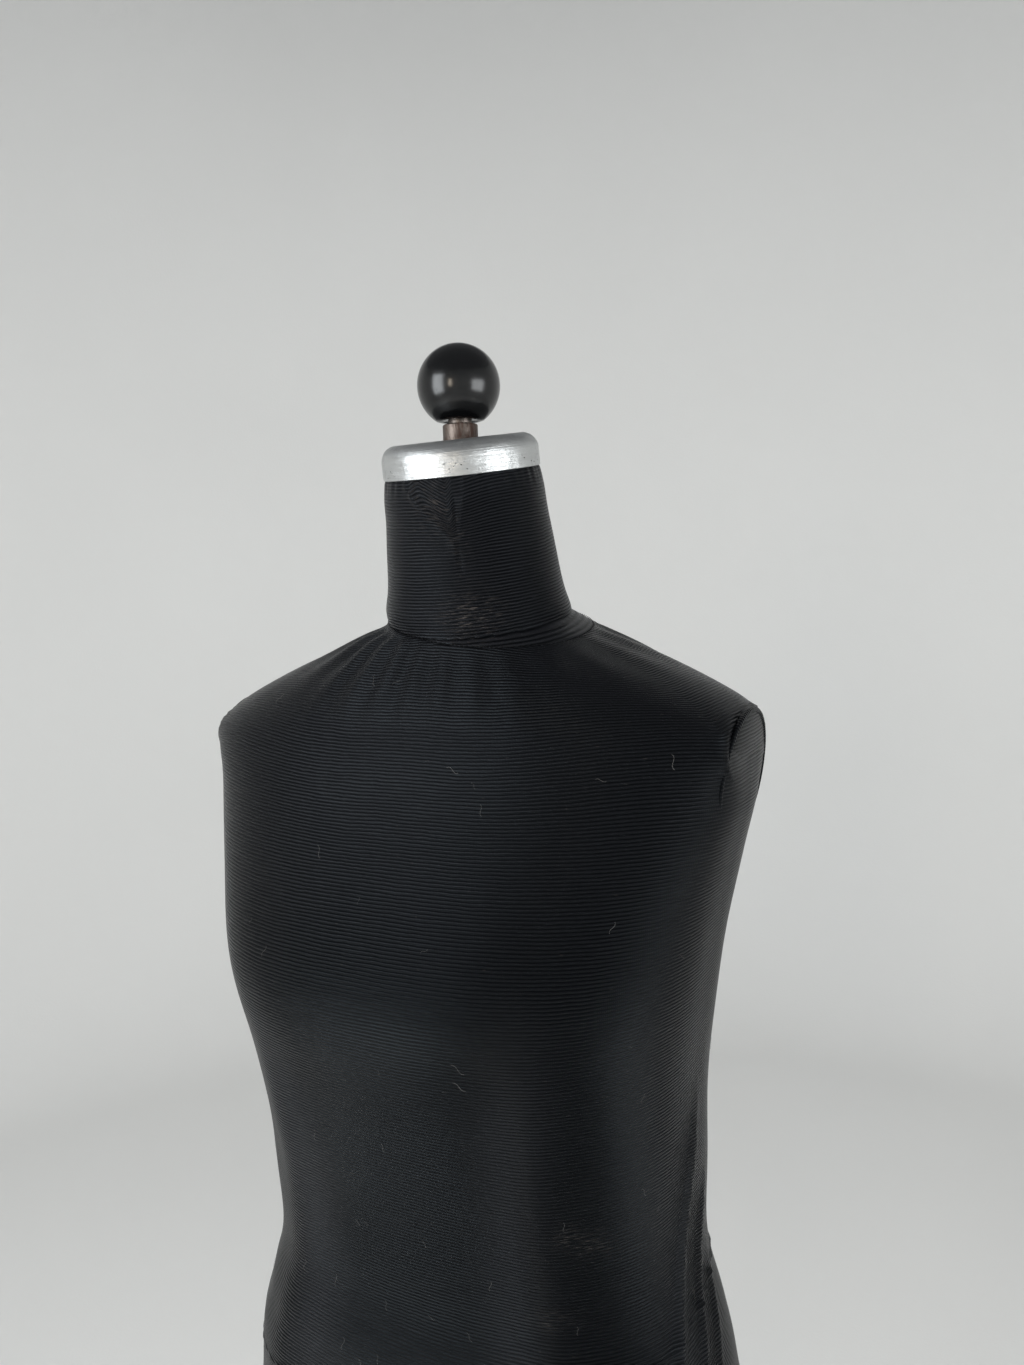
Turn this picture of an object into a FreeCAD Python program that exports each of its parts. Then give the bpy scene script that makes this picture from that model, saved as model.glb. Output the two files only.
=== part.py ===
import FreeCAD, Part
import math
import os

Vector = FreeCAD.Vector
X_AXIS = Vector(1, 0, 0)
Y_AXIS = Vector(0, 1, 0)
Z_AXIS = Vector(0, 0, 1)

# A display dress form on a round-based stand.  Millimetres, +Z up, origin on the floor
# on the pole's centre line.  The form faces -Y, so its own left side is at +X.

# ---- Form: heights, stacked upwards from the floor ---------------------------------------
FLOOR_TO_HEM = 768.0
HEM_TO_HIP = 72.0
HIP_TO_CREST = 150.0
CREST_TO_WAIST = 50.0
WAIST_TO_UNDERBUST = 110.0
UNDERBUST_TO_BUST = 75.0
BUST_TO_CHEST = 75.0
CHEST_TO_SHOULDER = 62.0
SHOULDER_TO_NECK = 60.0
NECK_LENGTH = 91.0

# ---- Form: outline of each level (half width, depth in front of and behind the pole) ------
HEM_HALF_WIDTH, HEM_FRONT, HEM_BACK = 168.0, 103.0, 119.0
HIP_HALF_WIDTH, HIP_FRONT, HIP_BACK = 172.0, 108.0, 126.0
CREST_HALF_WIDTH, CREST_FRONT, CREST_BACK = 151.0, 106.0, 101.0
WAIST_HALF_WIDTH, WAIST_FRONT, WAIST_BACK = 140.0, 97.0, 94.0
UNDERBUST_HALF_WIDTH, UNDERBUST_FRONT, UNDERBUST_BACK = 142.0, 114.0, 94.0
BUST_HALF_WIDTH, BUST_FRONT, BUST_BACK = 152.0, 131.0, 97.0
CHEST_HALF_WIDTH, CHEST_FRONT, CHEST_BACK = 168.0, 108.0, 100.0
SHOULDER_HALF_WIDTH, SHOULDER_FRONT, SHOULDER_BACK = 188.0, 80.0, 90.0
NECK_BASE_RADIUS = 57.0
NECK_TOP_RADIUS = 46.6
NECK_TILT = 9.0
BODY_SQUARENESS = 2.6
SHOULDER_SQUARENESS = 2.1
SHOULDER_CURVE = 1.35
SHELL_WAIST_HOLLOW = 8.0
ARMHOLE_INSIDE_SHOULDER = 22.0
ARMHOLE_LEAN = 4.0
SECTION_POINTS = 32
STATIONS_PER_SPAN = 3
SMALL_ANGLE = 0.01

# ---- Form: walls and layers ----------------------------------------------------------------
COVER_THICKNESS = 1.6
COVER_GAP = 0.6
SHELL_WALL = 4.0
GLUE_GAP = 0.4
STRIP_THICKNESS = 3.0
STRIP_WIDTH = 36.0
STRIP_END_CLEARANCE = 30.0
BOARD_THICKNESS = 18.0
HEM_BAND_THICKNESS = 2.0
HEM_BAND_WIDTH = 24.0
ARM_PLATE_THICKNESS = 7.0
ARM_PLUG_DEPTH = 9.0
NECK_SPIGOT_LENGTH = 26.0
NECK_SPIGOT_STEP = 13.0

# ---- Neck cap --------------------------------------------------------------------------------
CAP_HEIGHT = 20.0
CAP_WALL = 1.2
CAP_CORNER_RADIUS = 8.5
CAP_DISH_WIDTH = 9.85
CAP_DISH_DEPTH = 3.0
CAP_OVER_COVER = 0.8
COVER_TUCK = 9.0
TUCK_INSET = 0.9
CAP_HOLE_CLEARANCE = 1.6
NECK_WASHER_THICKNESS = 2.0
BRAD_RADIUS = 0.8
BRAD_HEAD_RADIUS = 1.6
BRAD_LENGTH = 12.0
BRAD_ANGLES = (75.0, 165.0)

# ---- Pole, knob and their fits ------------------------------------------------------------------
POLE_RADIUS = 10.65
POLE_WALL = 2.6
POLE_CHAMFER = 0.8
POLE_ABOVE_CAP = 8.5
POLE_BELOW_HEM = 468.0
RUNNING_CLEARANCE = 0.08
THREAD_CLEARANCE = 0.05
FREE_CLEARANCE = 0.8
SEAT_GAP = 0.1
BUSH_WALL = 3.0
NECK_BUSH_LENGTH = 30.0
TOP_PLUG_LENGTH = 24.0
STUD_RADIUS = 6.0
BALL_RADIUS = 25.0
BALL_FLAT_RADIUS = 14.0
INSERT_WALL = 1.0
INSERT_LENGTH = 20.0
INSERT_BELOW_BALL = 2.0
STUD_END_GAP = 1.5
INSERT_END_WALL = 2.0
POLE_FOOT_LENGTH = 40.0
POLE_FOOT_PLUG = 15.0

# ---- Bearing under the form ------------------------------------------------------------------------
FLANGE_BRIM = 27.0
FLANGE_THICKNESS = 5.0
FLANGE_BOSS_WALL = 4.3
FLANGE_BOSS_LENGTH = 18.0
FLANGE_BUSH_LENGTH = 42.0
THRUST_WASHER_WIDTH = 9.3
THRUST_WASHER_THICKNESS = 2.0
COLLAR_WALL = 9.3
COLLAR_LENGTH = 18.0
COLLAR_SCREW_RADIUS = 3.0
COLLAR_SCREW_RECESS = 1.0

# ---- Stand ---------------------------------------------------------------------------------------------
TUBE_BORE_GAP = 0.85
TUBE_WALL = 2.5
TUBE_TOP_BELOW_HEM = 148.0
TUBE_BUSH_LENGTH = 60.0
TUBE_BUSH_FLANGE = 3.0
CLAMP_WALL = 9.0
CLAMP_LENGTH = 36.0
CLAMP_BOSS_RADIUS = 10.0
CLAMP_BOSS_LENGTH = 9.0
CLAMP_SCREW_RADIUS = 4.0
CLAMP_SCREW_OUT = 26.0
CLAMP_TIP_GAP = 0.3
CLAMP_KNOB_RADIUS = 17.0
CLAMP_KNOB_LENGTH = 16.0
CLAMP_KNOB_LOBES = 6
CLAMP_KNOB_LOBE_RADIUS = 5.0
CLAMP_KNOB_FACE_WALL = 3.0
FOOT_COUNT = 6
FOOT_RADIUS = 14.0
FOOT_THICKNESS = 5.0
FOOT_RECESS = 1.5
BASE_RADIUS = 180.0
BASE_WEIGHT_THICKNESS = 13.0
BASE_COVER_WALL = 1.2
BASE_COVER_GAP = 3.5
BASE_COVER_EDGE_RADIUS = 8.0
BASE_COVER_RISE = 16.0
BASE_FLOOR_GAP = 1.5
HUB_BRIM = 14.0
HUB_FLANGE_THICKNESS = 8.0
HUB_WALL = 6.0
HUB_SOCKET_DEPTH = 40.0
HUB_FLOOR = 10.0
BASE_BOLT_RADIUS = 6.0
BASE_BOLT_HEAD_RADIUS = 10.4
BASE_BOLT_HEAD_HEIGHT = 5.0
BASE_WASHER_RADIUS = 13.0
BASE_WASHER_THICKNESS = 1.5
BASE_POCKET_CLEARANCE = 1.0

# ---- Fasteners of the form ------------------------------------------------------------------------------
SCREW_RADIUS = 1.75
SCREW_HEAD_RADIUS = 3.5
SCREW_HEAD_HEIGHT = 2.0
SCREW_SINK = 0.8
NECK_SCREW_LENGTH = 18.0
BOARD_SCREW_LENGTH = 22.0
BOARD_SCREW_COUNT = 8
FLANGE_SCREW_LENGTH = 16.0
FLANGE_SCREW_COUNT = 4
TACK_COUNT = 28
TACK_RADIUS = 0.7
TACK_HEAD_RADIUS = 2.6
TACK_HEAD_HEIGHT = 0.8
TACK_LENGTH = 9.0

# ---- Heights that follow from the sizes above ----------------------------------------------------------
HIP_Z = FLOOR_TO_HEM + HEM_TO_HIP
CREST_Z = HIP_Z + HIP_TO_CREST
WAIST_Z = CREST_Z + CREST_TO_WAIST
UNDERBUST_Z = WAIST_Z + WAIST_TO_UNDERBUST
BUST_Z = UNDERBUST_Z + UNDERBUST_TO_BUST
CHEST_Z = BUST_Z + BUST_TO_CHEST
SHOULDER_Z = CHEST_Z + CHEST_TO_SHOULDER
NECK_BASE_Z = SHOULDER_Z + SHOULDER_TO_NECK
NECK_SLOPE = math.tan(math.radians(NECK_TILT))
NECK_BASE_SHIFT = NECK_LENGTH * math.sin(math.radians(NECK_TILT))
CAP_Z = NECK_BASE_Z + NECK_BASE_SHIFT * NECK_SLOPE + NECK_LENGTH * math.cos(math.radians(NECK_TILT))
CAP_RADIUS = NECK_TOP_RADIUS - TUCK_INSET + CAP_OVER_COVER + CAP_WALL
CAP_DISH_RADIUS = POLE_RADIUS + CAP_DISH_WIDTH
NECK_SPIGOT_RADIUS = NECK_BASE_RADIUS - NECK_SPIGOT_STEP
POLE_TOP_Z = CAP_Z + CAP_HEIGHT + POLE_ABOVE_CAP
POLE_BOTTOM_Z = FLOOR_TO_HEM - POLE_BELOW_HEM
BORE_RADIUS = POLE_RADIUS + FREE_CLEARANCE
BUSH_BORE_RADIUS = POLE_RADIUS + RUNNING_CLEARANCE
BUSH_RADIUS = BUSH_BORE_RADIUS + BUSH_WALL
FLANGE_BOSS_RADIUS = BUSH_RADIUS + FLANGE_BOSS_WALL
FLANGE_RADIUS = FLANGE_BOSS_RADIUS + FLANGE_BRIM
THRUST_WASHER_RADIUS = POLE_RADIUS + THRUST_WASHER_WIDTH
COLLAR_RADIUS = POLE_RADIUS + COLLAR_WALL
INSERT_RADIUS = STUD_RADIUS + INSERT_WALL
SHELL_INSET = COVER_THICKNESS + COVER_GAP
LINING_INSET = SHELL_INSET + SHELL_WALL
BOARD_INSET = LINING_INSET + GLUE_GAP
BOARD_Z = FLOOR_TO_HEM + HEM_BAND_THICKNESS
FLANGE_Z = BOARD_Z - FLANGE_THICKNESS
BOSS_Z = FLANGE_Z - FLANGE_BOSS_LENGTH
COLLAR_TOP_Z = BOSS_Z - THRUST_WASHER_THICKNESS
BALL_DROP = math.sqrt(BALL_RADIUS ** 2 - BALL_FLAT_RADIUS ** 2)
INSERT_Z = POLE_TOP_Z + SEAT_GAP
BALL_Z = INSERT_Z + INSERT_BELOW_BALL + BALL_DROP
BASE_WEIGHT_Z = FOOT_THICKNESS - FOOT_RECESS
HUB_Z = BASE_WEIGHT_Z + BASE_WEIGHT_THICKNESS
SOCKET_Z = HUB_Z + HUB_FLOOR
TUBE_BORE_RADIUS = POLE_RADIUS + TUBE_BORE_GAP
TUBE_RADIUS = TUBE_BORE_RADIUS + TUBE_WALL
HUB_RADIUS = TUBE_RADIUS + HUB_WALL
HUB_FLANGE_RADIUS = HUB_RADIUS + HUB_BRIM
TUBE_TOP_Z = FLOOR_TO_HEM - TUBE_TOP_BELOW_HEM
CLAMP_Z = TUBE_TOP_Z - CLAMP_LENGTH / 2
CLAMP_RADIUS = TUBE_RADIUS + CLAMP_WALL
CLAMP_BOSS_REACH = CLAMP_RADIUS + CLAMP_BOSS_LENGTH
CLAMP_SCREW_REACH = CLAMP_BOSS_REACH + CLAMP_SCREW_OUT


# ---- Small helpers ------------------------------------------------------------------------------------------
def cylinder(radius, low, high, x=0.0, y=0.0):
    """Upright cylinder between two heights."""
    return Part.makeCylinder(radius, high - low, Vector(x, y, low))


def tube(outer, inner, low, high):
    """Upright tube between two heights."""
    return cylinder(outer, low, high).cut(cylinder(inner, low, high))


def turned(outline):
    """Solid of revolution about Z from (radius, height) corners."""
    corners = [Vector(radius, 0, height) for radius, height in outline]
    face = Part.Face(Part.makePolygon(corners + corners[:1]))
    return face.revolve(Vector(0, 0, 0), Z_AXIS, 360)


def on_neck(shape):
    """Moves a shape from the neck's own frame (origin at the cap's rim) to the form."""
    placed = shape.copy()
    placed.Placement = FreeCAD.Placement(Vector(0, 0, CAP_Z), FreeCAD.Rotation(X_AXIS, NECK_TILT))
    return placed


def pole_bore(radius, low, high):
    """Cutter that frees the upright pole from what it passes through."""
    return cylinder(radius, low, high)


def fastener(radius, head_radius, head_height, length, head_centre, direction):
    """Countersunk screw or tack whose head faces back against its direction."""
    head = Part.makeCone(head_radius, radius, head_height, head_centre, direction)
    shank = Part.makeCylinder(radius, length, head_centre, direction)
    return head.fuse(shank).removeSplitter()


def wood_screw(length, head_centre, direction):
    """Countersunk wood screw of the form's one screw size."""
    return fastener(SCREW_RADIUS, SCREW_HEAD_RADIUS, SCREW_HEAD_HEIGHT, length, head_centre, direction)


def around(count, start=0.0):
    """Evenly spread angles in radians."""
    return [math.radians(start) + 2 * math.pi * i / count for i in range(count)]


# ---- The torso's shape --------------------------------------------------------------------------------------
LEVELS = [
    (FLOOR_TO_HEM, HEM_HALF_WIDTH, HEM_FRONT, HEM_BACK),
    (HIP_Z, HIP_HALF_WIDTH, HIP_FRONT, HIP_BACK),
    (CREST_Z, CREST_HALF_WIDTH, CREST_FRONT, CREST_BACK),
    (WAIST_Z, WAIST_HALF_WIDTH, WAIST_FRONT, WAIST_BACK),
    (UNDERBUST_Z, UNDERBUST_HALF_WIDTH, UNDERBUST_FRONT, UNDERBUST_BACK),
    (BUST_Z, BUST_HALF_WIDTH, BUST_FRONT, BUST_BACK),
    (CHEST_Z, CHEST_HALF_WIDTH, CHEST_FRONT, CHEST_BACK),
    (SHOULDER_Z, SHOULDER_HALF_WIDTH, SHOULDER_FRONT, SHOULDER_BACK),
]


def slope_at(index, column):
    """Rate of change of one column of LEVELS at a level, from its neighbours."""
    below = LEVELS[max(index - 1, 0)]
    above = LEVELS[min(index + 1, len(LEVELS) - 1)]
    return (above[column] - below[column]) / (above[0] - below[0])


def between_levels(index, share, column):
    """Cubic blend of one column from a level to the next."""
    low, high = LEVELS[index], LEVELS[index + 1]
    span = high[0] - low[0]
    start = low[column] * (2 * share ** 3 - 3 * share ** 2 + 1)
    end = high[column] * (3 * share ** 2 - 2 * share ** 3)
    leaving = slope_at(index, column) * span * (share ** 3 - 2 * share ** 2 + share)
    arriving = slope_at(index + 1, column) * span * (share ** 3 - share ** 2)
    return start + end + leaving + arriving


def torso_stations():
    """Stations up the torso: height, half width, front, back, squareness, slope, top share."""
    stations = []
    for index in range(len(LEVELS) - 1):
        for step in range(STATIONS_PER_SPAN):
            share = step / STATIONS_PER_SPAN
            height = LEVELS[index][0] + share * (LEVELS[index + 1][0] - LEVELS[index][0])
            half_width, front, back = (between_levels(index, share, column) for column in (1, 2, 3))
            top = max(0.0, (height - CHEST_Z) / (NECK_BASE_Z - CHEST_Z))
            stations.append((height, half_width, front, back, top))
    neck_front = NECK_BASE_RADIUS - NECK_BASE_SHIFT
    neck_back = NECK_BASE_RADIUS + NECK_BASE_SHIFT
    steps = 2 * STATIONS_PER_SPAN
    for step in range(steps + 1):
        share = step / steps
        eased = share ** SHOULDER_CURVE
        height = SHOULDER_Z + share * SHOULDER_TO_NECK
        half_width = SHOULDER_HALF_WIDTH + eased * (NECK_BASE_RADIUS - SHOULDER_HALF_WIDTH)
        front = SHOULDER_FRONT + eased * (neck_front - SHOULDER_FRONT)
        back = SHOULDER_BACK + eased * (neck_back - SHOULDER_BACK)
        top = (height - CHEST_Z) / (NECK_BASE_Z - CHEST_Z)
        stations.append((height, half_width, front, back, top))
    return stations


def waist_hollow(height):
    """How far the hard shell lies inside the stretched cover at a height."""
    below = (height - HIP_Z) / (WAIST_Z - HIP_Z)
    above = (BUST_Z - height) / (BUST_Z - WAIST_Z)
    reach = max(0.0, min(below, above, 1.0))
    return SHELL_WAIST_HOLLOW * math.sin(reach * math.pi / 2) ** 2


def section_radius(angle, half_width, front, back, squareness):
    """Distance from the pole to a rounded-rectangle section, at an angle from +X."""
    depth = back if math.sin(angle) > 0 else front
    across = abs(math.cos(angle) / half_width) ** squareness
    along = abs(math.sin(angle) / depth) ** squareness
    return (across + along) ** (-1 / squareness)


def section_wire(station, inset, hollow):
    """Closed smooth curve of one torso station, moved inwards by the inset."""
    height, half_width, front, back, top = station
    inwards = inset + (waist_hollow(height) if hollow else 0.0)
    squareness = BODY_SQUARENESS + top * (SHOULDER_SQUARENESS - BODY_SQUARENESS)
    points = []
    for angle in around(SECTION_POINTS):
        radius = section_radius(angle, half_width - inwards, front - inwards, back - inwards, squareness)
        x, y = radius * math.cos(angle), radius * math.sin(angle)
        points.append(Vector(x, y, height - inset * top ** 2 + y * NECK_SLOPE * top ** 2))
    curve = Part.BSplineCurve()
    parameters = [i / SECTION_POINTS for i in range(SECTION_POINTS + 1)]
    curve.interpolate(Points=points, PeriodicFlag=True, Parameters=parameters)
    return Part.Wire([curve.toShape()])


def torso_solid(inset, hollow=False, below=0.0):
    """The torso's full volume, moved inwards, and carried on below the hem if asked."""
    stations = torso_stations()
    if below:
        stations.insert(0, (FLOOR_TO_HEM - below,) + stations[0][1:])
    wires = [section_wire(station, inset, hollow) for station in stations]
    return Part.makeLoft(wires, True, False)


def armhole_box(side, start):
    """Everything further out than the armhole plane plus a distance, on one side."""
    size = 2 * SHOULDER_HALF_WIDTH
    box = Part.makeBox(size, 2 * size, 2 * size, Vector(start, -size, -size))
    box.rotate(Vector(0, 0, 0), Y_AXIS, -ARMHOLE_LEAN)
    box.translate(Vector(SHOULDER_HALF_WIDTH - ARMHOLE_INSIDE_SHOULDER, 0, SHOULDER_Z))
    return box if side > 0 else box.mirror(Vector(0, 0, 0), X_AXIS)


def without_arms(shape, start=0.0):
    """A torso layer with both armholes cut off flat."""
    return shape.cut([armhole_box(1, start), armhole_box(-1, start)])


def neck_cutter(radius):
    """Long cylinder on the neck's axis that opens the torso's top."""
    length = NECK_LENGTH + CAP_HEIGHT
    return on_neck(Part.makeCylinder(radius, length, Vector(0, 0, -length - NECK_SPIGOT_LENGTH)))


# ---- Fasteners placed by the torso's shape --------------------------------------------------------------------
def section_point(angle, sizes, squareness, height):
    """Point of a section at an angle from +X, and the outward direction there."""
    reaches = [section_radius(angle + turn, *sizes, squareness) for turn in (-SMALL_ANGLE, 0.0, SMALL_ANGLE)]
    radial = Vector(math.cos(angle), math.sin(angle), 0)
    sideways = Vector(-math.sin(angle), math.cos(angle), 0)
    growth = (reaches[2] - reaches[0]) / (2 * SMALL_ANGLE)
    outwards = radial * reaches[1] - sideways * growth
    return radial * reaches[1] + Vector(0, 0, height), outwards.normalize()


def board_screws():
    """Screws through the shells into the bottom board's edge."""
    height = BOARD_Z + BOARD_THICKNESS / 2
    share = (height - FLOOR_TO_HEM) / HEM_TO_HIP
    sizes = [between_levels(0, share, column) - SHELL_INSET for column in (1, 2, 3)]
    screws = []
    for angle in around(BOARD_SCREW_COUNT, 180.0 / BOARD_SCREW_COUNT):
        place, outwards = section_point(angle, sizes, BODY_SQUARENESS, height)
        screws.append(wood_screw(BOARD_SCREW_LENGTH, place - outwards * SCREW_SINK, -outwards))
    return Part.Compound(screws)


def neck_screws():
    """Screws down through the shells' top into the neck block's shoulder."""
    reach = (NECK_SPIGOT_RADIUS + NECK_BASE_RADIUS - LINING_INSET) / 2
    screws = []
    for angle in around(4, 45.0):
        foot = Vector(reach * math.cos(angle), reach * math.sin(angle), -NECK_LENGTH - SHELL_INSET - SHELL_WALL)
        screws.append(wood_screw(NECK_SCREW_LENGTH, foot, Z_AXIS))
    return on_neck(Part.Compound(screws))


def flange_screws():
    """Screws up through the bottom flange into the board."""
    reach = (FLANGE_RADIUS + FLANGE_BOSS_RADIUS) / 2
    screws = []
    for angle in around(FLANGE_SCREW_COUNT, 45.0):
        head = Vector(reach * math.cos(angle), reach * math.sin(angle), FLANGE_Z)
        screws.append(wood_screw(FLANGE_SCREW_LENGTH, head, Z_AXIS))
    return Part.Compound(screws)


def hem_tacks():
    """Tacks up through the hem band into the bottom board."""
    inset = BOARD_INSET + (HEM_BAND_WIDTH - BOARD_INSET) / 2
    sizes = (HEM_HALF_WIDTH - inset, HEM_FRONT - inset, HEM_BACK - inset)
    tacks = []
    for angle in around(TACK_COUNT):
        reach = section_radius(angle, sizes[0], sizes[1], sizes[2], BODY_SQUARENESS)
        head = Vector(reach * math.cos(angle), reach * math.sin(angle), FLOOR_TO_HEM - TACK_HEAD_HEIGHT)
        cap = Part.makeCylinder(TACK_HEAD_RADIUS, TACK_HEAD_HEIGHT, head)
        tacks.append(cap.fuse(Part.makeCylinder(TACK_RADIUS, TACK_LENGTH, head)).removeSplitter())
    return Part.Compound(tacks)


# ---- The form ------------------------------------------------------------------------------------------------------
def neck_outline(inset):
    """Outline of the neck, wide end down, moved inwards: (radius, height) in the neck's frame."""
    return [
        (0.0, -NECK_LENGTH),
        (NECK_BASE_RADIUS - inset, -NECK_LENGTH),
        (NECK_TOP_RADIUS - inset, 0.0),
        (NECK_TOP_RADIUS - TUCK_INSET - inset, 0.0),
        (NECK_TOP_RADIUS - TUCK_INSET - inset, COVER_TUCK),
        (0.0, COVER_TUCK),
    ]


def neck_cover():
    """Knitted sleeve round the neck, tucked up under the cap."""
    return on_neck(turned(neck_outline(0.0)).cut(turned(neck_outline(COVER_THICKNESS))))


def neck_block(screws):
    """Turned wooden neck with a spigot into the shells and an upright bore."""
    block = turned(neck_outline(COVER_THICKNESS + GLUE_GAP / 2))
    crown_radius = NECK_TOP_RADIUS - TUCK_INSET - COVER_THICKNESS - GLUE_GAP
    crown_height = CAP_HEIGHT - CAP_CORNER_RADIUS - CAP_WALL
    crown = Part.makeCylinder(crown_radius, crown_height, Vector(0, 0, 0))
    core = Part.makeCylinder(CAP_DISH_RADIUS, CAP_HEIGHT - CAP_DISH_DEPTH - CAP_WALL - GLUE_GAP)
    spigot_low = -NECK_LENGTH - NECK_SPIGOT_LENGTH
    spigot = Part.makeCylinder(NECK_SPIGOT_RADIUS, NECK_SPIGOT_LENGTH, Vector(0, 0, spigot_low))
    solid = on_neck(block.fuse([crown, core, spigot]).removeSplitter())
    solid = solid.cut(pole_bore(BORE_RADIUS, NECK_BASE_Z - 2 * NECK_SPIGOT_LENGTH, POLE_TOP_Z))
    bush_z = NECK_BASE_Z - NECK_SPIGOT_LENGTH
    solid = solid.cut(cylinder(BUSH_RADIUS, bush_z - NECK_SPIGOT_LENGTH, bush_z + NECK_BUSH_LENGTH))
    return solid.cut(screws.Solids)


def neck_bush():
    """Plain bearing in the neck block that runs on the pole."""
    low = NECK_BASE_Z - NECK_SPIGOT_LENGTH
    return tube(BUSH_RADIUS, BUSH_BORE_RADIUS, low, low + NECK_BUSH_LENGTH)


def cap_brads():
    """Brads through the cap's skirt into the neck block, in the neck's own frame."""
    brads = []
    for degrees in BRAD_ANGLES:
        outwards = Vector(math.cos(math.radians(degrees)), math.sin(math.radians(degrees)), 0)
        head = outwards * (CAP_RADIUS + BRAD_RADIUS / 2) + Vector(0, 0, COVER_TUCK / 2)
        brads.append(fastener(BRAD_RADIUS, BRAD_HEAD_RADIUS, BRAD_RADIUS, BRAD_LENGTH, head, -outwards))
    return Part.Compound(brads)


def neck_cap(brads):
    """Spun cap with a rounded shoulder and a dished middle, holed for the pole."""
    outer = Part.makeCylinder(CAP_RADIUS, CAP_HEIGHT)
    outer = outer.makeFillet(CAP_CORNER_RADIUS, [outer.Edges[0]])
    inner = Part.makeCylinder(CAP_RADIUS - CAP_WALL, CAP_HEIGHT - CAP_WALL)
    inner = inner.makeFillet(CAP_CORNER_RADIUS - CAP_WALL, [inner.Edges[0]])
    dish_floor = CAP_HEIGHT - CAP_DISH_DEPTH
    dish = Part.makeCylinder(CAP_DISH_RADIUS, CAP_DISH_DEPTH, Vector(0, 0, dish_floor))
    cup = Part.makeCylinder(CAP_DISH_RADIUS + CAP_WALL, CAP_DISH_DEPTH, Vector(0, 0, dish_floor - CAP_WALL))
    cap = outer.cut(inner).fuse(cup).cut(dish).removeSplitter().cut(brads.Solids)
    hole = pole_bore(POLE_RADIUS + CAP_HOLE_CLEARANCE, CAP_Z, POLE_TOP_Z)
    return on_neck(cap).cut(hole)


def neck_washer():
    """Dark washer in the cap's dish, round the pole."""
    floor = CAP_HEIGHT - CAP_DISH_DEPTH
    ring = Part.makeCylinder(CAP_DISH_RADIUS - GLUE_GAP, NECK_WASHER_THICKNESS, Vector(0, 0, floor))
    return on_neck(ring).cut(pole_bore(BORE_RADIUS, CAP_Z, POLE_TOP_Z))


def torso_cover():
    """Stretched knitted cover from the neck seam to the hem."""
    skin = torso_solid(0.0).cut(torso_solid(COVER_THICKNESS, below=HEM_BAND_THICKNESS))
    skin = skin.cut(neck_cutter(NECK_BASE_RADIUS - 2 * COVER_THICKNESS))
    return without_arms(skin)


def shell_halves(screws):
    """Hard front and back shells, split at the side seams."""
    hull = torso_solid(SHELL_INSET, hollow=True).cut(torso_solid(LINING_INSET, hollow=True, below=BOARD_THICKNESS))
    hull = hull.cut(neck_cutter(NECK_SPIGOT_RADIUS + GLUE_GAP))
    hull = without_arms(hull)
    hull = hull.cut(cylinder(2 * SHOULDER_HALF_WIDTH, FLOOR_TO_HEM - BOARD_THICKNESS, BOARD_Z))
    hull = hull.cut(screws.Solids)
    size = 2 * SHOULDER_HALF_WIDTH
    front_half = Part.makeBox(2 * size, size, NECK_BASE_Z, Vector(-size, -size, FLOOR_TO_HEM))
    back_half = Part.makeBox(2 * size, size, NECK_BASE_Z, Vector(-size, 0, FLOOR_TO_HEM))
    return hull.common(front_half), hull.common(back_half)


def side_strips():
    """Glued strips inside the side seams, right then left."""
    inner = torso_solid(BOARD_INSET + STRIP_THICKNESS, hollow=True, below=BOARD_THICKNESS)
    lining = torso_solid(BOARD_INSET, hollow=True).cut(inner)
    low = BOARD_Z + BOARD_THICKNESS + GLUE_GAP
    high = CHEST_Z - STRIP_END_CLEARANCE
    size = 2 * SHOULDER_HALF_WIDTH
    strips = []
    for start in (-size, 0.0):
        window = Part.makeBox(size, STRIP_WIDTH, high - low, Vector(start, -STRIP_WIDTH / 2, low))
        strips.append(lining.common(window))
    return strips


def arm_plate(side):
    """Flat plate that closes an armhole, with a plug into the shell."""
    plate = torso_solid(0.0).common(armhole_box(side, 0.0)).cut(armhole_box(side, ARM_PLATE_THICKNESS))
    plug = torso_solid(BOARD_INSET).common(armhole_box(side, -ARM_PLUG_DEPTH)).cut(armhole_box(side, 0.0))
    return plate.fuse(plug).removeSplitter()


def bottom_board(fixings):
    """Wooden board that closes the shells' open end, holed for the bush."""
    slab = torso_solid(BOARD_INSET).common(cylinder(2 * SHOULDER_HALF_WIDTH, BOARD_Z, BOARD_Z + BOARD_THICKNESS))
    slab = slab.cut(cylinder(BUSH_RADIUS + GLUE_GAP / 2, BOARD_Z, BOARD_Z + BOARD_THICKNESS))
    return slab.cut(fixings.Solids)


def hem_band(fixings):
    """Tape under the board that gathers in the cover's lower edge."""
    window = cylinder(2 * SHOULDER_HALF_WIDTH, FLOOR_TO_HEM, BOARD_Z)
    band = torso_solid(COVER_THICKNESS + GLUE_GAP).common(window)
    return band.cut(torso_solid(HEM_BAND_WIDTH, below=HEM_BAND_THICKNESS)).cut(fixings.Solids)


def bottom_flange(fixings):
    """Steel flange under the board that carries the lower bush."""
    flange = cylinder(FLANGE_RADIUS, FLANGE_Z, BOARD_Z)
    flange = flange.fuse(cylinder(FLANGE_BOSS_RADIUS, BOSS_Z, FLANGE_Z)).removeSplitter()
    return flange.cut(cylinder(BUSH_RADIUS, BOSS_Z, BOARD_Z)).cut(fixings.Solids)


def flange_bush():
    """Lower plain bearing that runs on the pole."""
    return tube(BUSH_RADIUS, BUSH_BORE_RADIUS, BOSS_Z, BOSS_Z + FLANGE_BUSH_LENGTH)


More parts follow.
